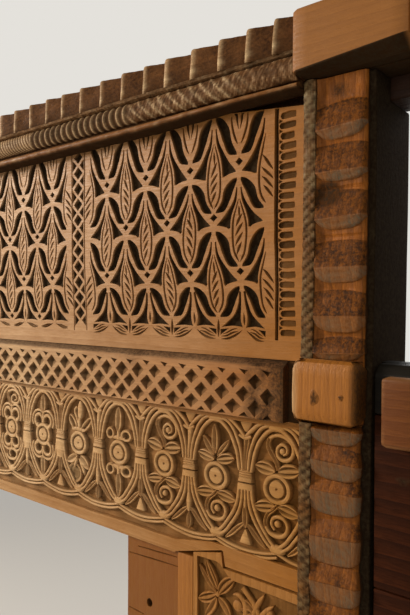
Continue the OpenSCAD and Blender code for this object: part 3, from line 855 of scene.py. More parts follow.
class SCREEN_OT_lattice_rail(bpy.types.Operator):
    """Chips three staggered rows of diamond pits into the lattice rail"""

    bl_idname = "screen.lattice_rail"
    bl_label = "Lattice Rail"

    def execute(self, context):
        deep = sizes()
        low, high = box("lattice_rail")
        face = low[1]
        reach, bottom, top = 705, low[2], high[2] - 10
        rng = default_rng(5)
        board = Board(face, deep.hand * 0.8, 71, drift=0.7)
        pitch, phase, spacing = 40.6, 7.1, 19.6
        count = int(reach / pitch) + 1
        for row in range(3):
            z = bottom + 14.8 + row * spacing
            for c in range(-count, count + 1):
                x = phase + (c + 0.5 * (row % 2)) * pitch + rng.uniform(-1.2, 1.2)
                if abs(x) > reach - 15:
                    continue
                worn = 1 if abs(x) < 450 else 0.93
                wide, tall = 16.4 * worn + rng.uniform(-1.2, 0.5), 13.6 * worn + rng.uniform(-1, 0.4)
                right, head = (x + wide, z + rng.uniform(-1, 1)), (x + rng.uniform(-1, 1), z + tall)
                # Each pit's deep floor lies to its upper left; its walls and floor are painted dark, as dirt
                # and as the shade that falls there
                board.pit(((x - wide, z), (x - 1, z - tall), right, head), (x - 6.5, z + 2.4),
                          deep.lattice * rng.uniform(0.85, 1.1), 0.16)
        for c in range(-count, count + 1):
            x = phase + (c + 0.5) * pitch + rng.uniform(-1, 1)
            if abs(x) > reach - 15:
                continue
            for z, *corners, heart in (
                (top, (-9.5, -6), (0.5, -14.5), (8, -8), (-1, -9.5)),
                (bottom, (-9.5, 1), (8.5, 1.6), (0.5, 8.6), (-1.5, 3.8)),
            ):
                corners = [(x + across, z + up) for across, up in corners]
                board.pit(corners, (x + heart[0], z + heart[1]), deep.lattice * 0.5, 0.2)
        board.close(oblong(-reach, bottom + SKIN, reach, top), 0)
        # The weathered bevel above the pits, darker towards the back with dirt and the painted shade of the
        # gap under the panel, and the board behind, painted dark as shade
        depths = np.array((face + 0.2, face + 3.5, -1, 10))
        heights = np.array((top - 0.2, top + 3, high[2] - 0.6, high[2] - SKIN))
        sheet = spots(np.linspace(-reach, reach, 90)[:, None], depths, heights)
        sheet[:, 1:3, 2] += 0.8 * wander(sheet[:, 1:3], 3, 50)
        sheet[..., 2] = np.minimum(sheet[..., 2], high[2])
        board.slab(sheet, shades(sheet, (0, 0.2, 0.5, 0.5), (0, 0.4, 0.4, 0.4), (0, 0.8, 0.8, 0.8)), 12)
        behind = oblong(0.2, bottom + SKIN, high[1] - SKIN, high[2] - SKIN)
        timber(board, behind, "X", low[0] + SKIN, high[0] - SKIN, 9, wear=1.5, rough=0.2, marks=(0.8, 0, 1))
        colours = palette()
        # Oiled cedar chipped out with a flat chisel: orange brown, darker where hands have worn it
        material = cedar(
            "cedar_chip_carved", tinted(colours.lattice, "#D2AC7C", 0.8),
            tinted(colours.lattice, "#6E4018", 0.85), "X", ring=8, contrast=0.36, blotch=0.35, grime_and_shade=0.82,
            far=tinted(colours.amber, "#AC6620", 0.7))
        piece = board.build("lattice_rail_carved", material, "cedar_lattice", "lattice_rail", tone=0.3)
        shade_marks(piece, lattice_wear_and_shade)
        return {"FINISHED"}


def vertex_places(mesh):
    """Where a mesh's points lie, in its own units."""
    places = np.zeros(len(mesh.vertices) * 3)
    mesh.vertices.foreach_get("co", places)
    return places.reshape(-1, 3)


def shade_marks(piece, rule):
    """Adds marks to a built piece by a rule of where each point is: dirt and painted shade, grey for wear and
    painted highlights, stain and painted shade.
    """
    mesh = piece.data
    places = vertex_places(mesh) / MM
    for key, extra in rule(places).items():
        layer = mesh.attributes[key]
        now = np.zeros(len(places), np.float32)
        layer.data.foreach_get("value", now)
        layer.data.foreach_set("value", held(now + extra).astype(np.float32))


def lattice_wear_and_shade(places):
    """The handled ends of the rail are stained, and its end faces are painted nearly black as shade."""
    far = abs(places[:, 0])
    ends = held((far - 630) / 30)
    blots = held(0.5 + 1.8 * wander(places, 61, 8))
    spot = np.exp(-(((far - 400) / 16) ** 2) - ((places[:, 2] - np.max(places[:, 2]) + 10) / 14) ** 2)
    sides = (far > 704) * 1
    return {
        "stain": ends * (0.5 + 0.8 * blots) + 0.8 * spot + sides, "dirt": 0.6 * ends * blots + 0.8 * sides}


# The arcade board

# Underside of the board over the carved jambs
HEAD_LINE = 1356.5
MEDALLION_PITCH = 113.2
MEDALLION_HEIGHT = 1494.5
# Rows of millimetres from a ring's middle and half width, for the right half of a medallion
INNER_TOP = (
    (2, 88, 3.4), (9, 87, 3.5), (16.5, 82.5, 3.5), (26, 73.5, 3.5), (34, 60.5, 3.5), (39.7, 47, 3.4),
    (43.2, 33, 3.3), (45.4, 18, 3.1))
INNER_LOW = (
    (45.6, -3, 3.2), (44.6, -13, 3.3), (42.3, -28, 3.4), (35, -46, 3.4), (23, -64.5, 3.3), (11, -79, 3.2),
    (2, -86, 3))
SECOND_TOP = (
    (12, 93.2, 2.9), (24, 88.5, 3.2), (35, 77.5, 3.2), (42.4, 64, 3.2), (47.4, 50, 3), (50.2, 36, 2.8),
    (51.4, 18, 2.7))
SECOND_LOW = (
    (51.3, -3, 2.7), (50.6, -16, 3), (48.6, -34, 3.1), (41.4, -51.5, 3.1), (30, -68, 3.1), (17, -83, 2.9),
    (8, -89, 2.6))
THIRD_TOP = ((23, 95, 2.6), (33, 90, 3.4), (43, 82.5, 3.6), (50, 76, 3.4), (55.4, 70.5, 2.8))
TUFT_SIDE = ((54.6, -62, 1.4), (47, -67.5, 4), (38, -75.5, 4.6), (28, -84.5, 4), (19, -91, 1.6))
SWAG = ((0, -94, 2.2), (20, -99, 2.4), (57, -103, 2.4), (94, -99, 2.4), (113.2, -94, 2.2))
SPIRAL_STEM = (
    (2.7, 28, 3.4), (0.5, 36, 4), (-5, 46, 4.4), (-11, 54, 4.4), (-15.5, 63, 4.2), (-13, 73, 3.8),
    (-5, 79, 3))
SPIRAL_CURL = (
    (-12, 74, 2.6), (-2, 79.5, 3), (9, 80, 3.3), (20, 75.5, 3.4), (27.5, 66, 3.4), (27.5, 54.5, 3.4),
    (19, 45.5, 3.3), (8, 44.5, 3.2), (0.5, 51, 3), (1, 61.5, 2.9), (9, 67.5, 2.8), (17.5, 63, 2.6),
    (17.2, 55.5, 2.4), (11, 52, 2))
LOW_STEM = ((1, 25, 3.4), (-7, 32, 3.8), (-16, 41, 3.9), (-20, 51, 3.8), (-17, 61, 3.4))
LOW_CURL = (
    (-18.5, 58, 3), (-12, 66, 3.3), (0, 68.5, 3.5), (11, 65.5, 3.5), (18, 57.5, 3.5), (18, 47.5, 3.4),
    (11.5, 41, 3.2), (2, 40.5, 3.1), (-6.5, 45, 3), (-8.5, 53, 2.8), (-3.5, 60, 2.6))
# Radius, depth, and dirt and painted shade of the rings: beside a leaf, of a knot, and in the middle of each
# medallion
LEAF_RING = (
    (0.5, 8.6, 1), (4.8, 8, 1), (6.2, 4, 0.8), (7, 0.8, 0.1), (8.4, 0.2, 0), (10.2, 0.4, 0.05),
    (11.2, 3, 0.4))
KNOT_RING = ((0.5, 5, 1), (6, 5.6, 1), (9, 3.6, 0.9), (13, 4.6, 1), (16, 2.2, 0.6), (19, 1.8, 0.3))
# Stem, curl, middle of the knob and height of the whole, for a spiral above and below a ring
SPIRALS = {1: (SPIRAL_STEM, SPIRAL_CURL, (9, 57), 82), -1: (LOW_STEM, LOW_CURL, (1.5, 51), 70)}
RING = (
    (0.4, 2.6, 0.9), (1.4, 1.8, 0.6), (2.3, 0.4, 0.05), (8.5, 0.1, 0), (12.4, 0.6, 0.05), (13.6, 3, 0.8),
    (14.4, 4.4, 1), (15.6, 4.4, 1), (16.6, 2, 0.6), (17.6, 0.5, 0.05), (20, 0.2, 0), (22.6, 0.7, 0.05),
    (24, 3.4, 0.5), (24.6, 10, 1))


def spiral(board, centre, up, side, squeeze=1):
    """A stem that leaves the ring and curls in on itself."""
    stem, curl, knob, reach = SPIRALS[up]
    stem, curl, knob = (
        placed([(x, reach - (reach - z) * squeeze, half) for x, z, half in rows], centre, side, up)
        for rows in (stem, curl, [(*knob, 0)]))
    board.ridge(stem, 0.7, 22, SCOOP)
    board.ridge(curl, 0.3, 46)
    if squeeze > 0.9:
        board.dish(knob[0][:2], ((0.4, 0.5, 0), (3.4, 0.7, 0), (4.8, 1.8, 0.2), (5.8, 5, 0.9)), 14)


def petal(board, root, tip, half, bend=0, top=0.3, count=11, shape=SCOOP):
    """A pointed leaf that stands on the ground."""
    root, tip = np.array(root, float), np.array(tip, float)
    way = tip - root
    left = np.array([-way[1], way[0]]) / np.linalg.norm(way)
    rows = []
    for t, w in ((0, 0.2), (0.1, 0.55), (0.28, 0.92), (0.48, 1), (0.7, 0.92), (0.88, 0.6), (1, 0.14)):
        spot = root + way * t + left * bend * math.sin(math.pi * t)
        rows.append((spot[0], spot[1], half * w))
    board.ridge(rows, top, count, shape)


def pair(board, centre, up, root, tip, half, rng, shape=SCOOP):
    """Two leaves, one on either side of a stem."""
    for side in SIDES:
        shake = rng.uniform(-1.2, 1.2, 2)
        petal(board, (centre[0] + side * root[0], centre[1] + up * root[1]),
              (centre[0] + side * (tip[0] + shake[0]), centre[1] + up * (tip[1] + shake[1])),
              half + rng.uniform(-0.6, 0.4), shape=shape)


def hooks(board, centre, up):
    """Two pairs of hooked leaves that curl round dark holes."""
    for side in SIDES:
        hole = (centre[0] + side * 14.5, centre[1] + up * 28)
        for radius, half, first, last in ((12.2, 3.9, 3.05, -1.15), (20.8, 3, 2.3, -0.55)):
            rows = [(hole[0] + side * radius * math.cos(a), hole[1] + up * radius * math.sin(a), half * w)
                    for a, w in zip(np.linspace(first, last, 9), (0.5, 0.8, 0.95, 1, 1, 1, 1, 1.05, 0.9))]
            board.ridge(rows, 0.3, 20)
        tip = (hole[0] + side * 4.4, hole[1] - up * 11)
        board.dish(tip, ((0.4, 0.4, 0), (3.4, 0.5, 0), (4.6, 2, 0.2), (5.2, board.ground, 1)), 12)
    board.ridge(placed(((0, 24, 6), (0, 33, 4.2), (0, 48, 3.4)), centre, 1, up), 0.4, 7)


def finial(board, kind, centre, up, side, rng):
    """One of the ornaments above or below a ring."""
    x, z = centre

    def leaf(root, tip, half, shape=SCOOP):
        ends = [(x + side * across, z + up * rise) for across, rise in (root, tip)]
        petal(board, *ends, half, shape=shape)

    def stem(top, count, *rows):
        board.ridge(placed(rows, centre, 1, up), top, count)

    if kind == "spiral":
        pair(board, centre, up, (3, 26), (38.5, 32), 10.8 if up > 0 else 9.8, rng, PETAL)
        spiral(board, centre, up, side)
    elif kind == "palmette":
        leaf((-1, 36), (-2.5, 81), 7.4)
        pair(board, centre, up, (3.6, 33), (25, 59.5), 5.6, rng)
        pair(board, centre, up, (3, 26.5), (36, 34), 9.6, rng, PETAL)
    elif kind == "leaf_rings":
        leaf((0, 37), (1, 82), 9.6 if up > 0 else 8.4)
        for way, spread, wide in ((-1, 21.5, 1.02), (1, 20.5, 1.32)):
            board.dish(
                (x + side * way * spread, z + up * 33), (*LEAF_RING, (11.6, board.ground, 1)), 22, wide)
        stem(0.8, 8, (-17, 26, 3), (0, 27, 5.2), (17, 26, 3))
        stem(0.5, 5, (0, 24, 6), (0, 40, 3.6))
    elif kind == "loops":
        leaf((-6, 25), (-26, 52), 10.2, HOLLOW)
        leaf((9, 23), (39, 52), 9.4, HOLLOW)
        stem(0.6, 8, (-18, 25, 3.4), (0, 27, 5), (18, 25, 3.4))
        stem(0.5, 7, (side * 2, 26, 5.4), (side * 2, 40, 4.6), (side * 4, 52, 3.4))
        stem(0.5, 9, (0, 38, 3.4), (-side * 7, 52, 3.2), (-side * 11, 63, 3), (-side * 4, 71, 2.6))
        leaf((4, 44), (7, 83), 9.2, RIDGE)
    elif kind == "knot":
        leaf((-3, 25), (-33, 40), 9.4)
        leaf((6, 25), (31, 46), 9.4)
        leaf((-3, 30), (-13, 50), 3.6, RIDGE)
        leaf((3, 30), (21, 60), 4.8, RIDGE)
        board.dish((x - side * 12, z + up * 60), (*KNOT_RING, (20.5, board.ground, 1)), 22, 1.05)
    else:
        hooks(board, centre, up)
        if kind == "hook_leaf":
            leaf((0, 43), (0, 83), 9.2)
        else:
            spiral(board, centre, up, side, 0.8)


MEDALLION_KINDS = (
    ("spiral", "spiral"), ("palmette", "spiral"), ("spiral", "spiral"), ("leaf_rings", "leaf_rings"),
    ("loops", "knot"), ("hook_leaf", "hook_leaf"), ("hook_spiral", "hook_spiral"))


def medallion_place(k):
    """Centre of a medallion; the row was set out a little to the right of the middle."""
    return k * MEDALLION_PITCH + (6 if k >= 0 else 6 + 2 * k)


class SCREEN_OT_arcade_board(bpy.types.Operator):
    """Carves the arcade: thirteen medallions between tied bundles of ridges"""

    bl_idname = "screen.arcade_board"
    bl_label = "Arcade Board"

    def execute(self, context):
        deep = sizes()
        ground = deep.ground
        low, high = box("arcade_board")
        rng = default_rng(29)
        board = Board(0, deep.hand * 0.9, 90)
        reach, top = 728, high[2] - 9.5
        xs = np.linspace(-reach, reach, 150)
        grid = np.stack(np.meshgrid(xs, np.linspace(0, 1, 24), indexing="ij"), -1)
        # The sunk ground ends at the plain margin over the doorway, and higher up over the jambs
        base = np.interp(abs(xs), (490, 560), (low[2] + 22.5, low[2] + 38))[:, None]
        grid[..., 1] = base + (top - base) * grid[..., 1]
        # The sunk ground is painted darker, more towards the ends: dusty dirt and painted shade
        dark = 0.5 + 0.12 * abs(grid[..., 0]) / reach + 0.3 * wander(grid, 15, 30)
        board.sink(grid, ground + 0.9 * wander(grid, 8, 14) + 0.4, dark)
        slope = ((488, 1353), (584, 1380), (588, 1379), (592, HEAD_LINE))
        right = [(486, low[2] + SKIN), *slope]
        left = [(-x, z) for x, z in reversed(right)]
        start, *rest = oblong(low[0] + SKIN, HEAD_LINE, high[0] - SKIN, high[2] - SKIN)
        board.close([start, *left, *right, *rest], high[1] - SKIN)
        colours = palette()
        # Cedar carved in the round with gouges: warm and smooth on the ridges, brown in the ground with dust
        # and painted shade
        material = cedar("cedar_gouge_carved", colours.arcade, darker(colours.amber, 0.6), "X",
                         ring=8, contrast=0.35, blotch=0.25, grime_and_shade=0.72, far=colours.amber)
        board.build("arcade_board_cut", material, "cedar_carved", "arcade_board", tone=0.6)
        # The ridges of the same carving, rubbed by cleaning and painted lighter where the light falls on
        # them: paler and smoother than the ground between them
        rubbed_and_lit = cedar(
            "cedar_gouge_rubbed", tinted(colours.arcade, "#DDB784", 0.85), darker(colours.amber, 0.7), "X",
            ring=8, contrast=0.32, blotch=0.25, grime_and_shade=0.62, far=tinted(colours.amber, "#B4803E", 0.8))
        for part, span in (("left", range(-6, -1)), ("middle", range(-2, 3)), ("right", range(2, 7))):
            tracery = Board(0, deep.hand * 0.9, 90, ground=ground)
            span = [k for k in span if part == "middle" or abs(k) > 2]
            for k in span:
                medallion(tracery, k, rng)
            tracery.build(
                "arcade_tracery_" + part, rubbed_and_lit, "cedar_carved", "arcade_board", tone=0.6, crease=50)
        return {"FINISHED"}


def medallion(board, k, rng):
    """One medallion with the bundle of ridges on its right, and at the far left also that on its left."""
    centre = (medallion_place(k), MEDALLION_HEIGHT)
    flip = -1 if k < 0 else 1
    for side in SIDES:
        for rows, count in (
                (INNER_TOP, 16), (INNER_LOW, 16), (SECOND_TOP, 15), (SECOND_LOW, 15), (THIRD_TOP, 9)):
            board.ridge(placed(rows, centre, side), 0.3, count)
        board.ridge(placed(TUFT_SIDE, centre, side), 0.6, 12, SCOOP)
    board.dish(centre, [(r * 0.97, min(d, board.ground), m) for r, d, m in RING], 36, 1.06)
    bundle(board, (medallion_place(k) + medallion_place(k + 1)) / 2, k)
    if k == -6:
        bundle(board, centre[0] - 57.6, -7)
    above, below = MEDALLION_KINDS[6 - abs(k)]
    finial(board, above, centre, 1, flip, rng)
    finial(board, below, centre, -1, flip, rng)
    for lift, rim, foot, squash in ((91, 6, 7, 2.6), (-88.5, 6.4, 7.6, 1.9)):
        knob = ((0.4, 0.2, 0), (4, 0.4, 0), (rim, 1.2, 0.1), (foot, 4, 0.8))
        board.dish((centre[0], centre[1] + lift), knob, 14, squash)
    swag = placed(SWAG if k < 6 else SWAG[:3], centre)
    for lift in (0, -6.2) if k < 6 else (0,):
        board.ridge([(x, z + lift, half) for x, z, half in swag], 1.2, 22)


def tie(board, middle, lifts, half, sunk):
    """A band across a bundle, given from its top row down."""
    rows = spots(middle, MEDALLION_HEIGHT + np.array(lifts), half)
    b, a = rails(rows)
    across, down = FLAT.T
    flat = between(a, b, across)[::-1]
    sunk = np.broadcast_to(sunk, len(rows))[:, None]
    depth = (sunk + down * (board.ground - sunk))[::-1]
    if turn(np.vstack([flat[:, 0], flat[::-1, -1]])) < 0:
        flat, depth = flat[:, ::-1], depth[:, ::-1]
    # The band darkens where it sinks to the ground: dirt and painted shade
    board.shell(board.place(flat, depth, settled(depth, 2)))


def bundle(board, middle, k):
    """The bundle of ridges between two medallions: bud, cross tie, tie, stem, club and tuft."""
    height = MEDALLION_HEIGHT
    shape = SCOOP if k % 2 else RIDGE

    def stand(rows, top, count, shape=RIDGE):
        board.ridge(placed(rows, (middle, height)), top, count, shape)

    stand(((0, 95, 13), (0, 86, 9), (0, 77, 3)), 4.2, 5, FLAT)
    stand(((3, 69, 5.6), (2.5, 62, 5.6), (1, 45, 4), (0, 30, 3), (0, 19, 2.6)), 0.4, 9, shape)
    stand(((-11, 71.5, 2.6), (0, 68, 3.4), (11, 71.5, 2.6)), 0, 7)
    stand(((0, -6, 2.8), (0, -20, 2.9), (0, -38, 3.2)), 0.5, 8)
    stand(((0, -36, 2.4), (0, -44, 5.2), (0, -54, 6.2), (0, -63, 5), (0, -69, 2.2)), 0.2, 12, shape)
    if k in (-2, -1, 0, 1):
        stand(((0, -4, 14.6), (0, -20, 14), (0, -36, 11.5)), 0.2, 7, FLAT)
    # The tie is one band with grooves that leave thin cords round it, over a plain foot
    cords = np.array((20.5, 18.6, 16.9, 15.2, 13.4, 11.6, 9.9, 8.2, 4, 1.4))
    tie(board, middle, cords, 11.6 + 0.17 * (20 - cords), 1.6 * np.isin(range(10), (1, 3, 5, 7)))
    tie(board, middle, (-1.4, -4.5, -8, -11), 14.6, 0)
    if k % 2 == 0:
        petal(board, (middle, height - 71), (middle, height - 97), 5.6, count=9)
    else:
        stand(((0, -72, 1.8), (0, -82, 7), (0, -93, 11.5)), 1.4, 5, FLAT)


# The head beam with its cogs, rope and bead


class SCREEN_OT_head_beam(bpy.types.Operator):
    """Makes the middle front beam: cogs, a twisted rope, a bead and two plain ends"""

    bl_idname = "screen.head_beam"
    bl_label = "Head Beam"

    def execute(self, context):
        low, high = box("front_beam_middle")
        post_edge = box("post_inner_right")[0][0]
        joint = high[0]
        back, front = high[1], low[1]
        top = high[2]
        bottom = box("front_beam_right")[0][2]
        work = Work()
        colours = palette()
        # The body behind the carving: over the posts only its rear half runs on
        body = oblong(front + 19, bottom, back - SKIN, top - 11)
        timber(work, body, "X", -post_edge, post_edge, 11, wear=3, rough=0.6, marks=(0, 0, 0.7))
        # The lips under the beam are painted dark as shade
        for seed, near, far in ((12, front + 19, -1), (13, 36, back - SKIN)):
            lip = oblong(near, low[2] + 0.5, far, bottom + 3)
            timber(
                work, lip, "X", -post_edge + SKIN, post_edge - SKIN, seed, wear=1.5, rough=0.2,
                marks=(0.5, 0, 0.8))
        cogs(work, front, top - 7)
        rope(work, post_edge, front)
        ledge(work, post_edge, front)
        bead(work, post_edge, front)
        # Cedar browned by smoke under a roof: dull brown cogs with pale arrises, worn and painted as
        # highlights, a worn rope with painted highlights on its crests
        smoked = cedar("cedar_smoke_browned", colours.beam, darker(colours.beam, 0.5), "X", ring=9,
                       contrast=0.5, relief=0.9, grime_and_shade=0.8, worn="#E8C692", gloss=0.12)
        work.build("head_beam_carving", smoked, "cedar_beam", "front_beam_middle", tone=0.2)
        ends = Work()
        for side in SIDES:
            reach = side * (post_edge - BLOCK_LAP), side * (joint - SKIN)
            chamfered(ends, (front + SKIN, -SKIN), (bottom + SKIN, top - SKIN), *reach, 14 + side)
            rear = oblong(-1, bottom + SKIN, back - SKIN, top - SKIN)
            timber(
                ends, rear, "X", side * post_edge, side * (box("front_beam_right")[0][0] - SKIN), 24 + side,
                wear=2, rough=0.3)
        # Planed cedar with soft worn edges: clear yellow-brown grain, matt
        planed = cedar("cedar_planed", colours.plain, tinted(colours.plain, "#7E4E20", 0.8), "X", ring=6,
                       contrast=0.5, blotch=0.4)
        piece = ends.build("head_beam_ends", planed, "cedar_beam", "front_beam_middle", tone=0.9)
        shade_marks(piece, lambda places: under_bevel(places, front, bottom))
        side_beams(planed)
        return {"FINISHED"}


# How far the plain ends of the head beam reach over the doorway, and the bevel under their front edge
BLOCK_LAP = 4.5
BEVEL_DEEP, BEVEL_HIGH = 24, 17
# Left edges of the cogs to the right of the middle
COG_EDGES = (25, 78, 130, 183, 230, 284, 340, 394, 447, 494, 549, 603, 653, 700, 737)
# Share of the way across a cog and how far it stands out there
COG_SHAPE = np.array((
    (0, 0), (0.02, 0.3), (0.05, 0.72), (0.08, 0.93), (0.11, 1), (0.15, 1), (0.2, 0.95), (0.28, 0.84),
    (0.37, 0.74), (0.47, 0.62), (0.57, 0.5), (0.67, 0.39), (0.77, 0.28), (0.86, 0.18), (0.94, 0.08),
    (0.995, 0)))
LEDGE_LOW, LEDGE_TOP = 2105.5, 2112
ROPE_MIDDLE, ROPE_HALF = 2087, 17.8


def chamfered(work, deep, heights, start, end, seed):
    """A plain beam with a crisp bevel under its front edge."""
    outline = (
        (deep[0] + BEVEL_DEEP, heights[0]), (deep[1], heights[0]), (deep[1], heights[1]),
        (deep[0], heights[1]), (deep[0], heights[0] + BEVEL_HIGH))
    timber(work, outline, "X", start, end, seed, wear=(2, 4, 6, 9, 2), rough=0.9, step=16)
    points = work.points[-1]
    lift = points[:, 2] - heights[0]
    spare = BEVEL_HIGH - bevel_rise(points)
    lowered = np.where(
        lift <= BEVEL_HIGH, lift * spare / BEVEL_HIGH, spare * held(1 - (lift - BEVEL_HIGH) / 25))
    points[:, 2] -= np.where(points[:, 1] < deep[0] + BEVEL_DEEP, lowered, 0)


def bevel_rise(places):
    """The bevel starts small at the doorway and grows towards the wings."""
    return np.interp(abs(places[:, 0]), (735, 900), (4, BEVEL_HIGH))


def under_bevel(places, front, bottom):
    """The bevel under a plain beam end is painted almost black as shade."""
    line = bottom + bevel_rise(places) * held(1 - (places[:, 1] - front) / BEVEL_DEEP)
    under = (places[:, 2] < line + 3) * 1
    return {"dirt": 0.9 * under, "stain": under}


def cogs(work, front, top):
    """A row of saw-edged cogs: each steps out at its left arris and falls back to the right."""
    rng = default_rng(3)
    edges = [-x for x in reversed(COG_EDGES)] + list(COG_EDGES)
    share, out = COG_SHAPE.T[..., None]
    for x0, x1 in zip(edges[:-1], edges[1:]):
        crown = top - 0.6 - rng.uniform(0, 2) + np.interp(abs(x0 + x1) / 2, (600, 700), (0, 3))
        foot = LEDGE_TOP - 3
        step = rng.uniform(0.93, 1)
        heights = np.array((
            foot, *np.linspace(LEDGE_TOP + 0.5, crown - 5, 12), crown - 2.5, crown - 0.5, crown))
        reaches = np.array((1,) * 13 + (0.99, 0.95, 0.84))
        rise = (heights[None] - foot) / (crown - foot)
        lean = np.interp(x0, (0, 700), (1.5, 4.5))
        across = x0 + (x1 - x0) * share - lean * (0.5 - rise) * held(share / 0.1) * (1 - share)
        rounded = held((0.2 - share) / 0.2) ** 2
        points = spots(
            across, front + 17 - 16.2 * step * out * reaches[None], heights[None] - 7 * rounded * rise**3)
        streak = np.sin(points[..., 0] * 0.9 + heights[None] * 0.8)
        points[..., 1] += 0.6 * wander(points, 70, 18) + 0.4 * streak * (share > 0.2)
        points[..., 1] = np.clip(points[..., 1], front + 0.4, front + 17)
        # Painted light and shade: each cog's arris is pale, partly worn and partly a painted highlight that
        # is brightest near its foot; its lower part, the notch at its left and the part that falls back to
        # the right are painted darker as shade, with stain in saw streaks
        blob = np.exp(-(((heights[None] - LEDGE_TOP - 8) / 5) ** 2))
        wide = np.interp(x1, (450, 520), (0.045, 0.085)) * (1 + 0.7 * blob)
        pale = np.exp(-(((share - 0.12 - 0.05 * rise) / wide) ** 2))
        low_dark = held(1 - rise / 0.55)
        dirt = (0.6 * low_dark + 0.35 * (share < 0.03)) * (1 - 0.9 * pale)
        stain = (0.38 + 0.25 * (share > 0.25) + 0.12 * streak + 0.25 * wander(points, 170, 25)) * (1 - pale)
        work.slab(points, shades(points, dirt, pale * (0.55 + 0.45 * blob), stain), front + 20)


def rope(work, reach, front):
    """A half-round rope moulding: fine slants near the middle, upright ribs, then long slants."""
    xs = np.linspace(-reach + 0.5, reach - 0.5, 1080)[:, None]
    lean = np.linspace(-1.55, 1.55, 13)
    far = abs(xs)
    fine = 1 / (1 + np.exp((far - 133) / 3))
    slant = 1 / (1 + np.exp(-(far - 412) / 4))
    upright = held(1 - fine - slant)

    def wave(phase):
        """Zero along the middle of each rib, one along each groove."""
        return 0.5 - 0.5 * np.cos(2 * math.pi * phase)

    # Long slants are thin crests over one flat ground, worn away towards the posts
    crest = np.exp(-(((far / 22.4 + 0.81 * np.sin(lean) + 0.5) % 1 - 0.5) / 0.13) ** 2)
    worn = np.clip(1 - (far - 620) / 60, 0.1, 1)
    ribs = wave(far / 16.8 + 0.05 * np.cos(lean * 1.4)) ** 0.55
    hollow = fine * wave(far / 9 + lean * 0.9) + upright * ribs + slant * (1 - crest * worn)
    cut = hollow * (fine * 1.1 + upright * 3.8 + slant * 2.2)
    points = spots(
        xs, front + 15.5 - (13.6 - cut) * np.cos(lean), ROPE_MIDDLE + (ROPE_HALF - cut * 0.3) * np.sin(lean))
    points[..., 1] += 0.5 * wander(points, 33, 20) + 0.9 * slant * wander(points, 34, 6)
    points[..., 1] = np.maximum(points[..., 1], front + SKIN)
    mottle = 0.5 * wander(points, 36, 7) + 0.7 * wander(points, 37, 3.5)
    # Painted shade darkens the grooves and the top and bottom edges, as dirt and stain; the crests are pale,
    # partly worn and partly painted highlights; the long slants are mottled with dirt
    dirt = held((0.85 - 0.45 * slant) * hollow) + 0.6 * (abs(lean) > 1.3) + 0.4 * slant * mottle
    grey = 0.8 * (1 - held(hollow)) + 0.5 * slant * held(-mottle)
    stain = 0.3 + 0.3 * slant + 0.2 * wander(points, 35, 40) + 0.3 * slant * mottle + 0.6 * upright * hollow
    work.slab(points, shades(points, dirt, grey, stain), front + 20)


def ledge(work, reach, front):
    """The worn ledge over the rope, which sinks towards the posts."""
    xs = np.linspace(-reach + 0.5, reach - 0.5, 360)[:, None]
    sunk = np.interp(abs(xs), (480, 680), (0, 4.5))
    heights = np.array((LEDGE_LOW - 1.5, LEDGE_LOW + 0.5, LEDGE_LOW + 3, LEDGE_TOP - 2.5, LEDGE_TOP + 1))
    points = spots(xs, np.array((12, 4.5, 3, 2.2, 16)) + front + sunk, heights)
    points[..., 1:] += 0.5 * wander(points, 21, 30)[..., None] + 0.5 * wander(points, 22, 6)[..., None]
    dirt = 0.25 + 0.25 * wander(points, 23, 9) + 0.1 * sunk
    grey = 0.15 + 0.4 * held(wander(points, 24, 5))
    work.slab(points, shades(points, dirt, grey, 0.35 + 0.3 * wander(points, 25, 12)), front + 21)


def bead(work, reach, front):
    """The bead under the rope. It thins towards the posts, over the panel's worn corner."""
    xs = np.linspace(-reach + 0.5, reach - 0.5, 260)[:, None]
    far = abs(xs)
    middle = np.interp(far, (0, 430, 600, 736), (2058.5, 2060, 2063.6, 2064.5))
    tall = np.interp(far, (0, 480, 736), (7.8, 6.6, 4.2))
    angle = np.linspace(-1.75, 1.6, 11)
    points = spots(xs, front + 22 - 11 * np.cos(angle), middle + tall * np.sin(angle))
    points[..., 1:] += (0.5 * wander(points, 44, 60) + 0.6 * wander(points, 45, 9))[..., None]
    # The underside and the top edge under the rope are painted dark as shade
    under = held((-angle - 0.35) / 0.6)
    grey = 0.3 * held(wander(points, 46, 12))
    marks = shades(points, under + 0.5 * (angle > 1.3), grey, 0.1 + under + 0.3 * wander(points, 47, 15))
    work.slab(points, marks, -0.6)


def side_beams(material):
    """The beams over the wings, the rear plate and the sill."""
    wear = sizes().wear
    for side, name in HANDS:
        node = "front_beam_" + name
        low, high = box(node)
        joint = box("front_beam_middle")[1][0]
        far, near = max(abs(low[0]), abs(high[0])), min(abs(low[0]), abs(high[0]))
        work = Work()
        depths, heights = ((low[axis] + SKIN, high[axis] - SKIN) for axis in (1, 2))
        chamfered(work, depths, heights, side * (joint + 0.6), side * (far - SKIN), 50 + side)
        lap = oblong(SKIN, heights[0], depths[1], heights[1])
        timber(work, lap, "X", side * (near + SKIN), side * (joint + 4), 54 + side, wear=2, rough=0.3)
        piece = work.build(node + "_hewn", material, "cedar_beam", node, tone=0.35 + 0.1 * side)
        shade_marks(piece, lambda places: under_bevel(places, low[1], low[2]))
    colours = palette()
    # Old dark cedar left from the adze, in the dark stain colour, which on the rear plate also stands for the
    # shade
    # behind the posts: broad dull facets
    adzed = cedar(
        "cedar_adzed_dark", colours.stain, darker(colours.stain, 0.5), "X", ring=12, contrast=0.5,
        relief=0.8)
    for node, seed in (("rear_plate", 81), ("sill", 82)):
        low, high = box(node)
        work = Work()
        timber(work, section(low, high), "X", low[0] + SKIN, high[0] - SKIN, seed, wear=wear * 1.3, rough=1.2)
        work.build(node + "_hewn", adzed, "cedar_dark", node, tone=seed / 10)


# The posts

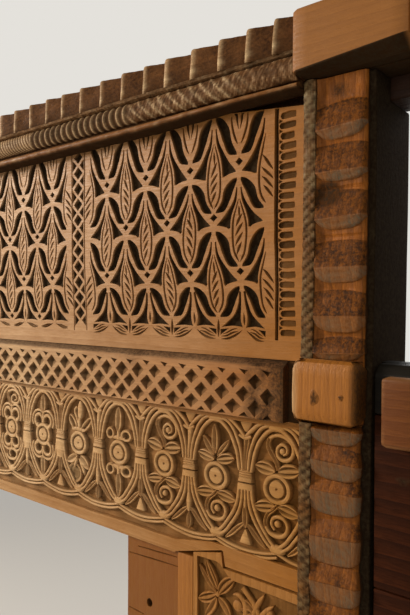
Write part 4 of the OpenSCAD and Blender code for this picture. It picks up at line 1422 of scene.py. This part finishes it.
# Heights of the arrises where a dark facet meets a grey one, heights of both facets, and an arris's slant
POST_ARRISES = (
    (2002, 34, 16), (1943, 38, 13), (1882, 36, 16), (1816, 36, 21), (1751, 35, 22), (1702, 22, 12),
    (1599, 8, 21), (1556, 20, 25), (1516, 18, 32), (1455, 22, 38, 5), (1393, 28, 30, 4), (1336, 26, 26),
    (1279, 28, 24), (1221, 30, 22), (1163, 28, 26), (1106, 26, 24), (1049, 30, 22), (992, 28, 26),
    (936, 28, 22), (879, 26, 26), (822, 30, 22), (765, 28, 24), (709, 26, 24), (652, 30, 22), (596, 28, 26),
    (539, 28, 22), (482, 26, 24), (425, 30, 24), (369, 26, 24), (312, 26, 24))
POST_BLOCKS = ((1606.5, 1692.5), (100, 250))
STRIP_WIDTH = 20
# Rings of a knot from its rim inwards: share of its reach, height under the face, dirt and stain
KNOT_RINGS = np.array((
    (1.3, 2, 0, 0.2), (1.08, 0.3, 0, 0.25), (0.9, -0.05, 0.1, 0.6), (0.62, -0.3, 0.1, 0.9),
    (0.35, -0.4, 0.5, 1), (0.1, -0.2, 0.7, 1)))


class SCREEN_OT_posts(bpy.types.Operator):
    """Cuts the four posts: facets and hollows, uncut blocks and the twisted strip"""

    bl_idname = "screen.posts"
    bl_label = "Posts"

    def execute(self, context):
        deep = sizes()
        colours = palette()
        # Cedar hollowed and faceted with an adze: oiled orange hollows, stained and silvered facets
        faceted = cedar("cedar_faceted", colours.hollow, tinted(colours.hollow, "#4A2006", 0.85), "Z", ring=7,
                        contrast=0.6, relief=0.9, blotch=0.5, worn="#5E5440", gloss=0.15)
        # Planed cedar, left on the uncut blocks: light brown, paler than the facets, with a pale arris that
        # is worn and painted as a highlight
        block = cedar(
            "cedar_planed_post", tinted(colours.plain, "#B47026", 0.8),
            tinted(colours.plain, "#7C4816", 0.8), "Z", ring=5, contrast=0.55, relief=0.8, blotch=0.3,
            worn="#C8A474")
        # A loose twist cut in cedar and left to weather: grey brown, darker in the cuts
        base = tinted(colours.hollow, "#5E4626", 0.6)
        twisted = cedar("cedar_twisted_strip", base, darker(base, 0.5), "Z", ring=5, contrast=0.6, relief=0.9,
                        worn="#80704C", gloss=0.12)
        for side, word in HANDS:
            for place, seed in (("inner", 100), ("outer", 200)):
                post(f"post_{place}_{word}", side, seed + side, deep.facet, faceted, block, twisted)
        return {"FINISHED"}


def post(node, side, seed, deep, faceted, block, twisted):
    """One post: its body, its faceted front, its two uncut blocks and the strip along the doorway edge."""
    low, high = box(node)
    front, back = low[1], high[1]
    foot, head = box("sill")[1][2], box("front_beam_right")[0][2]
    plate = box("rear_plate")[0][2]
    inner, outer = (low[0], high[0]) if side > 0 else (high[0], low[0])
    cut = front + 15
    hollow = cut + deep
    plane = hollow + 7
    work = Work()
    # The body stands behind the deepest hollow and is painted dark as shade; its head is stepped for the two
    # beams
    for step, start, end, rear, rough in ((0, foot, plate, back - SKIN, 0.6), (1, plate - 6, head, 45, 0.3)):
        body = oblong(low[0] + SKIN, plane, high[0] - SKIN, rear)
        timber(work, body, "Z", start, end, seed + step, wear=3, rough=rough, marks=SHADOWED)
    far = outer - side * 7
    facets(work, inner + side * STRIP_WIDTH, far, side, cut, hollow, foot, head, seed)
    lean_in(work.build(node + "_hewn", faceted, "cedar_post", node, tone=seed / 37), side)
    blocks = Work()
    for k, (lap, (z0, z1)) in enumerate(zip((2.5, 0.6), POST_BLOCKS)):
        outline = oblong(inner - side * lap, front + SKIN, far, plane + 2)
        wears = (3.5, 13, 3, 3)
        timber(blocks, outline, "Z", z0 + SKIN, z1 - SKIN, seed + 7 + k, wear=wears, rough=0.9, step=9)
    z0, z1 = POST_BLOCKS[0]
    near = inner - side * 2.5
    for share, up, wide, tall in ((0.37, 0.41, 7, 10.5), (0.77, 0.46, 3.4, 3.6)):
        knot(blocks, (near + (far - near) * share, z0 + (z1 - z0) * up), wide, tall, front + 0.6)
    piece = blocks.build(node + "_blocks", block, "cedar_post", node, tone=seed / 23)
    shade_marks(piece, lambda places: block_wear_light_and_shade(places, near, far, side))
    lean_in(piece, side)
    strip = Work()
    twisted_strip(strip, inner, side, cut, hollow, foot, head, seed)
    lean_in(strip.build(node + "_strip", twisted, "cedar_post", node, tone=seed / 11), side)


def lean_in(piece, side):
    """The old posts lean a little towards the doorway from their heads down."""
    mesh = piece.data
    places = vertex_places(mesh)
    share = held((2 - places[:, 2]) / 0.6)
    places[:, 0] -= side * 6 * MM * share * share * (3 - 2 * share)
    mesh.vertices.foreach_set("co", places.ravel())


def knot(work, centre, wide, tall, face):
    """A dark knot: a low oval boss, darkest in its middle."""
    turns = full_turn(20)
    reach, fall, dirt, stain = KNOT_RINGS.T[..., None]
    ragged = 1 + 0.12 * np.sin(3 * turns + centre[1])
    points = spots(
        centre[0] + wide * reach * ragged * np.cos(turns), face + fall,
        centre[1] + tall * reach * ragged * np.sin(turns))
    marks = shades(points, dirt, 0, stain * (0.8 + 0.3 * np.sin(5 * turns)))
    index = work.sheet(points, marks, ring=True, flip=True)
    work.faces += [index[0][::-1].tolist(), index[-1].tolist()]


def block_wear_light_and_shade(places, near, far, side):
    """The doorway arris of a block is rubbed pale and painted as a highlight; its other arris, turned from
    the light, and its underside are painted dark as shade.
    """
    across = (places[:, 0] - near) * side
    rubbed_and_lit = held(1 - abs(across - 1.5) / 5) * (0.8 + 0.4 * wander(places, 57, 30))
    turned = held((across - abs(far - near) + 10) / 8)
    low = held((POST_BLOCKS[0][0] + 5 - places[:, 2]) / 5) * (places[:, 2] > 1000)
    return {"grey": rubbed_and_lit, "stain": 0.9 * turned + 0.5 * low, "dirt": 0.5 * turned}


# Across a faceted front: share of the way, how far its edges fall back, share of the hollows' depth
FACET_ACROSS = np.array((0, 0.03, 0.08, 0.16, 0.3, 0.5, 0.7, 0.84, 0.91, 0.96, 0.99, 1))
FACET_EDGE = np.array((0.8, 0.3, 0.1, 0, 0, 0, 0, 0, 0.6, 2.4, 5.5, 9))
FACET_LEVEL = np.array((0.5, 0.62, 0.8, 0.95, 1, 1, 1, 1, 1, 1, 1, 1))


def facet_stations(rng, head):
    """Top, arris, bottom and slant of each pair of facets, from the head down, without laps."""
    highs = POST_BLOCKS[0][1]
    stations, previous = [], head
    for arris, dark, grey, *slant in POST_ARRISES:
        tilt = slant[0] if slant else rng.uniform(-3.5, 3.5)
        top = arris + dark if arris + dark <= previous else previous - 1
        bottom = arris - grey
        stations.append((top, arris, bottom, tilt))
        previous = highs if bottom > highs > bottom - 30 else bottom
    return stations


def facet_rows(rng, head, foot, reach):
    """Rows across a faceted front: heights, depth and marks."""
    across = FACET_ACROSS - 0.5
    rows = []

    def row(heights, depth, *mark):
        rows.append((heights + 0 * across, depth, mark))

    last = head
    for top, arris, bottom, tilt in facet_stations(rng, head):
        bulge, droop = rng.uniform(4.5, 8.5), rng.uniform(-2, 2.5)
        upper = tilt * across * 1.2 - bulge * 0.6 * (2 * across) ** 2
        middle = tilt * across + droop * across
        lower = tilt * across + bulge * (2 * across) ** 4 * 1.6
        if last - top > 3:
            for t in (0.02, 0.2, 0.5, 0.8):
                row(last - (last - top) * t, reach * (0.82 + 0.18 * math.sin(math.pi * t)), 0, 0, 0.1)
        row(top + upper + 0.7, reach * 0.92, 0, 0, 0.1)
        row(top + upper - 0.7, reach * 0.85, 0.15, 0, 0.85)
        for t in (0.35, 0.7, 0.97):
            heights = top + (arris - top) * t + upper * (1 - t) + middle * t
            row(heights, reach * 0.85 * (1 - t) + 0.2, 0.1, 0, 0.84)
        row(arris + middle - 0.8, 0.3, 0, 0.7, 0.1)
        for t in (0.4, 0.8):
            heights = arris + (bottom - arris) * t + middle * (1 - t) + lower * t
            row(heights, reach * 0.55 * t + 0.4, 0, 0.9, 0.05)
        row(bottom + lower + 0.8, reach * 0.62, 0, 0.85, 0.1)
        row(bottom + lower - 0.8, reach * 0.8, 0.25, 0, 0.1)
        last = bottom - 6
    row(foot + 0.5, reach * 0.8, 0, 0, 0.1)
    return (np.array(part) for part in zip(*rows))


def facets(work, x0, x1, side, cut, hollow, foot, head, seed):
    """The front of a post: dark facets slope out to an arris, grey ones fall back, hollows between."""
    lows = POST_BLOCKS[0][0]
    reach = hollow - cut - 0.6
    zs, depth, marks = facet_rows(default_rng(seed), head, foot, reach)
    zs = np.minimum.accumulate(np.minimum(zs, head - 0.4), axis=0)
    depth = depth[:, None] * FACET_LEVEL
    marks = np.repeat(marks[:, None], len(FACET_ACROSS), 1)
    zs, depth, marks = (finer(finer(rows, 3).swapaxes(0, 1), 2).swapaxes(0, 1) for rows in (zs, depth, marks))
    xs, edge = finer(FACET_ACROSS, 2), finer(FACET_EDGE, 2)
    pinch = side * np.where(zs < lows, 6, 2.5) * depth / reach * xs**3
    fall = np.minimum(depth + edge * (1 - 0.4 * depth / reach), reach + 6)
    points = spots(x0 + (x1 - side * 0.4 - x0) * xs - pinch, cut + 0.5 + fall, zs)
    points[..., 1] += 0.7 * wander(points, seed + 3, 16)
    # Slanting tool marks on the grey facets, rough fibres on the dark ones
    slanting = np.sin((points[..., 0] * side + zs) * 0.75 + 2 * wander(points, seed + 8, 30))
    points[..., 1] += np.where(marks[..., 1] > 0.5, 0.3 * slanting, 0.4 * wander(points, seed + 6, 4.5))
    below = (zs < lows) * (marks[..., 2] > 0.6)
    patches = held(0.2 + 1.3 * wander(points, seed + 9, 26))
    marks[..., 2] = np.where(
        below, 0.2 + 0.65 * patches, marks[..., 2] + 0.3 * patches * (marks[..., 1] < 0.5))
    # The lower post is browner; one big dark knot shows under the head
    marks[..., 2] += 0.3 * (zs < lows) * (marks[..., 1] < 0.5)
    away = np.hypot((points[..., 0] * side - 773) / 20, (zs - 1914) / 17)
    marks[..., :3:2] += (0.9 * held((1.15 - away) / 0.3))[..., None] * (0.6, 1)
    marks[..., 2] += 0.25 * held(-slanting) * (marks[..., 1] > 0.5)
    marks[..., 1] *= 0.8 + 0.3 * wander(points, seed + 5, 20) + 0.15 * slanting
    patch = np.exp(-(((xs - 0.42) / 0.17) ** 2) - ((zs - head + 20) / 11) ** 2)
    marks[..., :3:2] += patch[..., None] * (0.5, 0.95)
    # The last column, where the front turns back to the post's side, is painted dark as shade
    marks[:, -1] = (0.7, 0, 1)
    work.slab(points, marks, hollow + 8, flip=side < 0)


def finer(rows, times):
    """The same rows with straight steps put in between."""
    parts = np.arange((len(rows) - 1) * times + 1) / times
    low = np.minimum(parts.astype(int), len(rows) - 2)
    share = (parts - low).reshape(-1, *(1,) * (rows.ndim - 1))
    return rows[low] * (1 - share) + rows[low + 1] * share


def twisted_strip(work, inner, side, cut, hollow, foot, head, seed):
    """The greyed strip along the doorway edge of a post, cut like a loose twist and worn flat in places."""
    zs = np.linspace(foot + 0.4, head - 0.4, 900)[:, None]
    across = np.array((0, 0.06, 0.2, 0.4, 0.6, 0.8, 0.94, 1))
    crown = np.array((4.5, 1.8, 0.7, 0.1, 0.1, 0.5, 1, 1.6))
    keep = 0.35 + 0.65 * held(0.5 + 1.1 * wander(zs, seed + 4, 160))[:, None]
    cuts = 1.9 * keep * np.clip(np.sin(2 * math.pi * (zs / 13.5 - across * 1.1)), -0.2, 1) ** 2
    points = spots(inner + side * (0.4 + (STRIP_WIDTH - 0.6) * across), cut + 0.5 + crown + cuts, zs)
    points[..., 1] += 0.7 * wander(points, seed + 6, 9) + 0.6 * wander(points, seed + 9, 4)
    cutting = held(cuts / 1.4)
    fine = wander(points, seed + 10, 5)
    dirt = 0.7 * cutting + 0.2 * held(wander(points, seed + 7, 14)) + 0.3 * held(fine)
    grey = (0.5 + 0.5 * wander(points, seed + 8, 22) - 0.3 * fine) * (1 - 0.7 * cutting)
    marks = shades(points, dirt, grey, 0.35 + 0.4 * wander(points, seed + 12, 18) + 0.3 * fine)
    work.slab(points[::-1], marks[::-1], hollow + 8, flip=side < 0, shade=(0.6, 0.1, 0.8))


# The door jambs


class SCREEN_OT_door_jambs(bpy.types.Operator):
    """Makes the plain boards, the fillets and the vine-carved boards beside the doorway"""

    bl_idname = "screen.door_jambs"
    bl_label = "Door Jambs"

    def execute(self, context):
        colours = palette()
        # Oiled cedar board scraped smooth: deep orange with long grain
        scraped = cedar("cedar_scraped", colours.jamb, tinted(colours.jamb, "#7C4518", 0.8), "Z", ring=11,
                        contrast=0.5, blotch=0.5)
        # The fillet is the same cedar, planed: paler than the board beside it
        planed = cedar(
            "cedar_fillet", tinted(colours.plain, "#AE6F2C", 0.6), tinted(colours.plain, "#824C1A", 0.8),
            "Z", ring=6, contrast=0.5)
        # Cedar vine cut with gouges into an upright board: light brown over cuts that are dusty and painted
        # with shade
        vine = cedar(
            "cedar_vine_carved", tinted(colours.amber, "#B27C40", 0.6), darker(colours.amber, 0.6), "Z",
            ring=7, contrast=0.4, grime_and_shade=0.75)
        for side, word in HANDS:
            plain_jamb("jamb_plain_" + word, side, scraped)
            fillet_jamb("jamb_fillet_" + word, side, planed)
            carved_jamb("jamb_carved_" + word, side, vine)
        return {"FINISHED"}


def plain_jamb(node, side, material):
    """The board at the doorway: three knife lines and a bored hole."""
    low, high = box(node)
    board = Board(low[1] - 4, 0.5, 300 + side, drift=0.8)
    for start, first, stop, last in (
            (391, 1333.5, 484, 1339), (368, 1316.8, 486, 1323.5), (368, 1217, 406, 1216.5)):
        middle = side * (start + stop) / 2
        board.groove(
            ((side * start, first, 0.9), (middle, (first + last) / 2, 1.5), (side * stop, last, 0.9)), 3.5,
            7)
    hole = np.array((side * 419, 1241))
    angle = full_turn(20)
    board.pit(hole + np.stack([6.8 * np.cos(angle), 7.6 * np.sin(angle)], 1), hole + (0.6, -1), 13, 0.8)
    x0, x1 = sorted((side * 365, side * 489.7))
    board.close(oblong(x0, low[2] + SKIN, x1, high[2] - SKIN), high[1] - SKIN)
    board.build(node + "_cut", material, "cedar_plain", node, tone=0.5 + side * 0.2)


def rear_tongue(work, side, edge, back):
    """A tongue behind a jamb, up to an edge of x and z: a sheet painted dark as shade, which keeps the gap
    under the head board dark.
    """
    across, tops = np.array(edge).T
    points = spots(side * across[:, None], 22, np.stack([np.full(len(tops), 1330), tops], 1))
    work.slab(points, SHADOWED, back, flip=side < 0)


def fillet_jamb(node, side, material):
    """The narrow fillet between the two boards of a jamb."""
    low, high = box(node)
    work = Work()
    outline = oblong(low[0] + SKIN, low[1] + SKIN, high[0] - SKIN, high[1] - SKIN)
    timber(work, outline, "Z", low[2] + SKIN, high[2] - 13, 320 + side, wear=2.5, rough=0.4)
    rear_tongue(work, side, ((490.5, 1353.2), (524.5, 1362.8)), high[1] - 0.6)
    work.build(node + "_planed", material, "cedar_plain", node, tone=0.3 + side * 0.1)


def carved_jamb(node, side, material):
    """A climbing vine: crossed leaves, berries and side sprays between plain borders."""
    low, high = box(node)
    board = Board(low[1], 0.8, 340 + side, ground=6.6)
    near = side * 525
    top, pitch = HEAD_LINE - 5.3, 150
    z0, z1 = low[2] + 45, top - 14
    xs = np.linspace(*sorted((near + side * 9, side * 730)), 26)
    grid = np.stack(np.meshgrid(xs, np.linspace(z0, z1, 130), indexing="ij"), -1)
    # The carving climbs higher in the tongue beside the fillet than under the head board
    rise = np.interp(abs(grid[..., 0]), (534, 578, 602, 730), (20, 22, 1, 0))
    grid[..., 1] += rise * held((grid[..., 1] - z1 + 80) / 80)
    # The sunk ground is painted dark: dirt and painted shade
    board.sink(grid, board.ground + 0.8 * wander(grid, 12, 15), 0.68 + 0.25 * wander(grid, 18, 25))
    inner, outer = sorted((abs(low[0]), abs(high[0])))
    edge = oblong(inner + SKIN, low[2] + SKIN, outer - SKIN, top)[:3]
    edge += ((586, top), (582.5, high[2] + 10), (inner + SKIN, high[2] - 4))
    edge = [(side * x, z) for x, z in edge]
    board.close(edge if side > 0 else edge[1::-1] + edge[:1:-1], high[1] - SKIN)
    slope = ((526, 1363), (582, 1378.5), (588, 1378), (592.5, HEAD_LINE - 0.2), (749, HEAD_LINE - 0.2))
    rear_tongue(board, side, slope, high[1] - 0.4)
    rng = default_rng(360 + side)
    count = int((z1 - z0 - 60) / pitch) + 1
    for k in range(count + 1):
        z = top - 45 - k * pitch
        if z < z0 + 45:
            break
        flower(board, (near + side * 50, z), side, rng)
        flower(board, (near + side * 160, z - pitch / 2 + 2), -side, rng)

    def stem(z):
        """Where the winding stem stands at a height."""
        return near + side * (103 + 26 * math.sin((top - 41 - z) / pitch * 2 * math.pi + 0.7))

    heights = z1 - 6 - np.linspace(0, 1, 60) * (z1 - z0 - 12)
    board.ridge([(stem(z), z, 5) for z in heights], 0.5, 150)
    for k in range(2 * count):
        z = top - 60 - k * pitch / 2
        if z < z0 + 20:
            break
        x = stem(z)
        way = 1 if k % 2 else -1
        for lift, wide in ((0, 34), (16, 30), (-16, 30)):
            petal(board, (x + side * way * 2, z), (x + side * way * wide, z + lift + 6), 6, 2 * way)
        berry = ((0.4, 0.6, 0), (5.5, 0.9, 0), (8, 3, 0.2), (9, board.ground, 0.9))
        board.dish((x - side * way * 17, z + 14), berry, 16)
    board.build(node + "_vine", material, "cedar_carved", node, tone=0.8 + side * 0.1, crease=45)


# Leaves round a flower of the vine: root, tip and half width, from the flower's middle
VINE_LEAVES = (
    ((-2, 2), (-36, 38), 5.2, SCOOP), ((1, 9), (-20, 49), 8.6, PETAL), ((3, 2), (32, 33), 10.4, PETAL),
    ((-3, -1), (-39, -17), 9.6, PETAL), ((2, -4), (26, -30), 8, SCOOP), ((-2, -6), (-24, -42), 7.4, SCOOP),
)


def flower(board, centre, side, rng):
    """Six crossed leaves, a berry in a hook and two long blades."""
    x, z = centre

    def spot(dx, dz):
        return x + side * dx, z + dz

    for root, tip, half, shape in VINE_LEAVES:
        shake = rng.uniform(-1.5, 1.5, 2)
        petal(board, spot(*root), spot(tip[0] + shake[0], tip[1] + shake[1]), half, 2 * side, shape=shape)
    board.dish((x, z), ((0.4, 0.3, 0), (3.4, 0.5, 0), (5, 2.4, 0.3)), 14)
    board.dish(spot(38, -7), ((0.4, 0.6, 0), (6.4, 0.9, 0), (8.6, 2.2, 0.2), (9.4, board.ground, 0.9)), 18)
    hook = ((31, 9, 1.6), (39, 11, 3.6), (48, 6, 5), (53, -6, 5.6), (51, -20, 5), (44, -32, 3.2))
    board.ridge(placed(hook, centre, side), 0.4, 14)
    for root, tip in (((64, -22), (88, 26)), ((70, -26), (104, 14))):
        petal(board, spot(*root), spot(*tip), 4.6, 3 * side, shape=RIDGE)


# The wing walls


class SCREEN_OT_wing_walls(bpy.types.Operator):
    """Makes the planks, the cap rails and the girts of both wings"""

    bl_idname = "screen.wing_walls"
    bl_label = "Wing Walls"

    def execute(self, context):
        colours = palette()
        # Sawn planks stained dark red, gone dull and painted almost black as the shade that falls on them:
        # long dark streaks
        stained_and_shaded = cedar(
            "cedar_stained_plank", tinted(colours.plank, "#4E240C", 0.45), darker(colours.plank, 0.45), "X",
            ring=10, contrast=0.8, blotch=0.6, rough=(0.5, 0.75), gloss=0.05)
        # The cap rail is dark wood, painted almost black as the shade it lies in
        dark_and_shaded = cedar(
            "cedar_blackened_cap", linear("#211C14"), linear("#100D09"), "X", ring=12, contrast=0.6,
            gloss=0.1)
        # The girt keeps a planed, oiled face: brown with strong dark grain, and pale arrises that are worn
        # and painted as highlights
        oiled = cedar("cedar_oiled_girt", colours.girt, tinted(colours.girt, "#4C260E", 0.8), "X", ring=7,
                      contrast=0.6, worn="#A87C4C", gloss=0.12)
        for side, word in HANDS:
            for number in range(1, 7):
                plank(f"wing_plank_{word}_{number}", number * 7 + side, stained_and_shaded)
            cap("wing_cap_" + word, 400 + side, dark_and_shaded)
            girt("wing_girt_" + word, 420 + side, oiled)
        return {"FINISHED"}


# How far the thinner ends of planks and caps reach into the posts' grooves
TONGUE = 14.7


def tongued(low, high, body, rough, seed, tongue_seed):
    """A timber across a wing, with thinner ends that sit in the posts' grooves."""
    work = Work()
    timber(work, body, "X", low[0] + TONGUE, high[0] - TONGUE, seed, wear=2.5, rough=rough)
    ends = oblong(30, low[2] + SEAM, high[1] - SKIN, high[2] - SEAM)
    timber(work, ends, "X", low[0] + SEAM, high[0] - SEAM, tongue_seed, wear=1, rough=0.1)
    return work


def plank(node, seed, material):
    """One plank of a wing, with three knots."""
    low, high = box(node)
    work = tongued(low, high, section(low, high, SEAM), 0.6, 500 + seed, 540 + seed)
    rng = default_rng(580 + seed)
    for share in (0.085, 0.42, 0.77):
        x = low[0] + (high[0] - low[0]) * (
            share if low[0] > 0 else 1 - share) + rng.uniform(-20, 20) * (share > 0.1)
        z = low[2] + (high[2] - low[2]) * rng.uniform(0.25, 0.7)
        knot(work, (x, z), rng.uniform(7, 11), rng.uniform(5, 7), low[1] + 0.9)
    work.build(node + "_sawn", material, "cedar_plank", node, tone=seed * 0.37)


def cap(node, seed, material):
    """The cap rail of a wing, bevelled along its front edge."""
    low, high = box(node)
    bevel = 13
    start, *rest, corner = section(low, high, SEAM)
    body = (start, *rest, (corner[0] + bevel, corner[1]), (corner[0], corner[1] - bevel))
    tongued(low, high, body, 0.5, seed, seed + 3).build(
        node + "_hewn", material, "cedar_plank", node, tone=seed * 0.11)


def girt(node, seed, material):
    """The thick girt across the face of a wing."""
    low, high = box(node)
    work = Work()
    outline = section(low, high, SEAM, 0.1)
    timber(work, outline, "X", low[0] + SEAM, high[0] - SEAM, seed, wear=8, rough=0.8, step=30)
    piece = work.build(node + "_planed", material, "cedar_plain", node, tone=seed * 0.05)
    shade_marks(piece, lambda places: {"grey": edge_wear_and_highlight(places, low, high)})


def edge_wear_and_highlight(places, low, high):
    """The arrises of the girt are rubbed pale and painted as highlights."""
    reach = np.min([abs(places[:, axis] - side[axis]) for axis in (0, 2) for side in (low, high)], axis=0)
    return held(1 - reach / 6) * (0.5 + 0.6 * wander(places, 63, 25))


# Floor, lights and camera


def seen_directly(add):
    """One where the camera, a mirror or glass looks at the surface, zero where it only gives light."""
    path = add("LightPath")
    seen = add("Math", ((path, "Is Camera Ray"), (path, "Is Glossy Ray")), operation="MAXIMUM")
    return add("Math", ((seen, 0), (path, "Is Transmission Ray")), operation="MAXIMUM")


class SCREEN_OT_stage(bpy.types.Operator):
    """Lays the pale floor and sets the lights, the background and the camera"""

    bl_idname = "screen.stage"
    bl_label = "Stage"

    def execute(self, context):
        scene = context.scene
        pale = linear("#E4E1DB")
        # Painted studio floor: matt, and the same colour as the background far away
        material = bpy.data.materials.new("floor_painted_matt")
        material.use_nodes = True
        material.node_tree.nodes.clear()
        add = partial(add_node, material.node_tree)
        place = add("TexCoord")
        reach = add("VectorMath", ((place, "Object"),), operation="LENGTH")
        far = add("MapRange", ((reach, "Value"), 2.6, 9), interpolation_type="SMOOTHSTEP")
        seen = add("Math", ((seen_directly(add), 0), (far, 0)), operation="MULTIPLY")
        paint = {"Base Color": linear("#D9D5CD"), "Roughness": 0.9, "Specular IOR Level": 0.1}
        matt = add("BsdfPrincipled", paint)
        glow = add("Emission", {"Color": pale, "Strength": 1})
        blend = add("MixShader", ((seen, 0), (matt, 0), (glow, 0)))
        add("OutputMaterial", {"Surface": (blend, 0)})
        floor = Work()
        angle = full_turn(64)
        radii = np.array((50, 1500, 4000, 12000, 60000))[:, None]
        rings = spots(radii * np.cos(angle), radii * np.sin(angle), 0)
        index = floor.sheet(rings, ring=True)
        floor.faces.append(index[0].tolist())
        mesh = bpy.data.meshes.new("floor")
        mesh.from_pydata((np.concatenate(floor.points) * MM).tolist(), [], floor.faces)
        mesh.materials.append(material)
        ground = bpy.data.objects.new("floor", mesh)
        scene.collection.objects.link(ground)

        world = bpy.data.worlds.new("studio")
        scene.world = world
        world.use_nodes = True
        world.node_tree.nodes.clear()
        add = partial(add_node, world.node_tree)
        shown = add("Background", {"Color": pale, "Strength": 1})
        lit = add("Background", {"Color": linear("#E8E9EE"), "Strength": 0.3})
        blend = add("MixShader", ((seen_directly(add), 0), (lit, 0), (shown, 0)))
        add("OutputWorld", {"Surface": (blend, 0)})

        # Name, place, aim, size in metres, watts and colour
        for name, place, target, size, power, tint in (
            ("key", (-3, -2.2, 3), (0.1, 0, 1.65), 1.1, 190, "#FFF4E6"),
            ("fill", (1.6, -4, 2.4), (0.3, 0, 1.3), 3, 30, "#F4F5FF"),
            ("back", (0, 3.4, 3.4), (0, 0, 1.2), 3, 60, "#FFFFFF"),
        ):
            lamp = bpy.data.lights.new(name, "AREA")
            lamp.size = size
            lamp.energy = power
            lamp.color = linear(tint)[:3]
            light = bpy.data.objects.new(name, lamp)
            light.location = place
            light.rotation_euler = (Vector(target) - Vector(place)).to_track_quat("-Z", "Y").to_euler()
            scene.collection.objects.link(light)

        camera_data = bpy.data.cameras.new("camera")
        camera_data.sensor_fit = "VERTICAL"
        camera_data.sensor_height = 36
        camera_data.lens = 35.12
        camera_data.clip_end = 100
        camera = bpy.data.objects.new("camera", camera_data)
        aim = (
            Matrix.Rotation(math.radians(39.38), 4, "Z") @ Matrix.Rotation(math.radians(-0.61), 4, "X")
            @ Matrix.Rotation(math.radians(-0.23), 4, "Y") @ Matrix.Rotation(math.radians(90), 4, "X"))
        camera.matrix_world = Matrix.Translation((1.157, -0.74, 1.77)) @ aim
        scene.collection.objects.link(camera)
        scene.camera = camera
        scene.view_settings.view_transform = "Standard"
        return {"FINISHED"}


class SCREEN_PT_panel(bpy.types.Panel):
    """Lists the pieces of the screen"""

    bl_idname = "SCREEN_PT_panel"
    bl_label = "Carved Cedar Screen"
    bl_space_type = "VIEW_3D"
    bl_region_type = "UI"
    bl_category = "Screen"

    def draw(self, context):
        layout = self.layout
        for operator in OPERATORS:
            layout.operator(operator.bl_idname)
        for group in (context.scene.screen_sizes, context.scene.screen_colours):
            column = layout.column()
            for key in type(group).__annotations__:
                column.prop(group, key)


OPERATORS = (
    SCREEN_OT_tulip_panel,
    SCREEN_OT_lattice_rail,
    SCREEN_OT_arcade_board,
    SCREEN_OT_head_beam,
    SCREEN_OT_posts,
    SCREEN_OT_door_jambs,
    SCREEN_OT_wing_walls,
    SCREEN_OT_stage,
)
CLASSES = (ScreenSizes, ScreenColours, *OPERATORS, SCREEN_PT_panel)


def register():
    """Adds the classes and the scene's settings."""
    for item in CLASSES:
        bpy.utils.register_class(item)
    bpy.types.Scene.screen_sizes = PointerProperty(type=ScreenSizes)
    bpy.types.Scene.screen_colours = PointerProperty(type=ScreenColours)


def unregister():
    """Takes the settings and the classes away again."""
    del bpy.types.Scene.screen_colours
    del bpy.types.Scene.screen_sizes
    for item in reversed(CLASSES):
        bpy.utils.unregister_class(item)


def main():
    """Builds every piece and the stage."""
    register()
    bpy.ops.screen.tulip_panel()
    bpy.ops.screen.lattice_rail()
    bpy.ops.screen.arcade_board()
    bpy.ops.screen.head_beam()
    bpy.ops.screen.posts()
    bpy.ops.screen.door_jambs()
    bpy.ops.screen.wing_walls()
    bpy.ops.screen.stage()


if __name__ == "__main__":
    main()
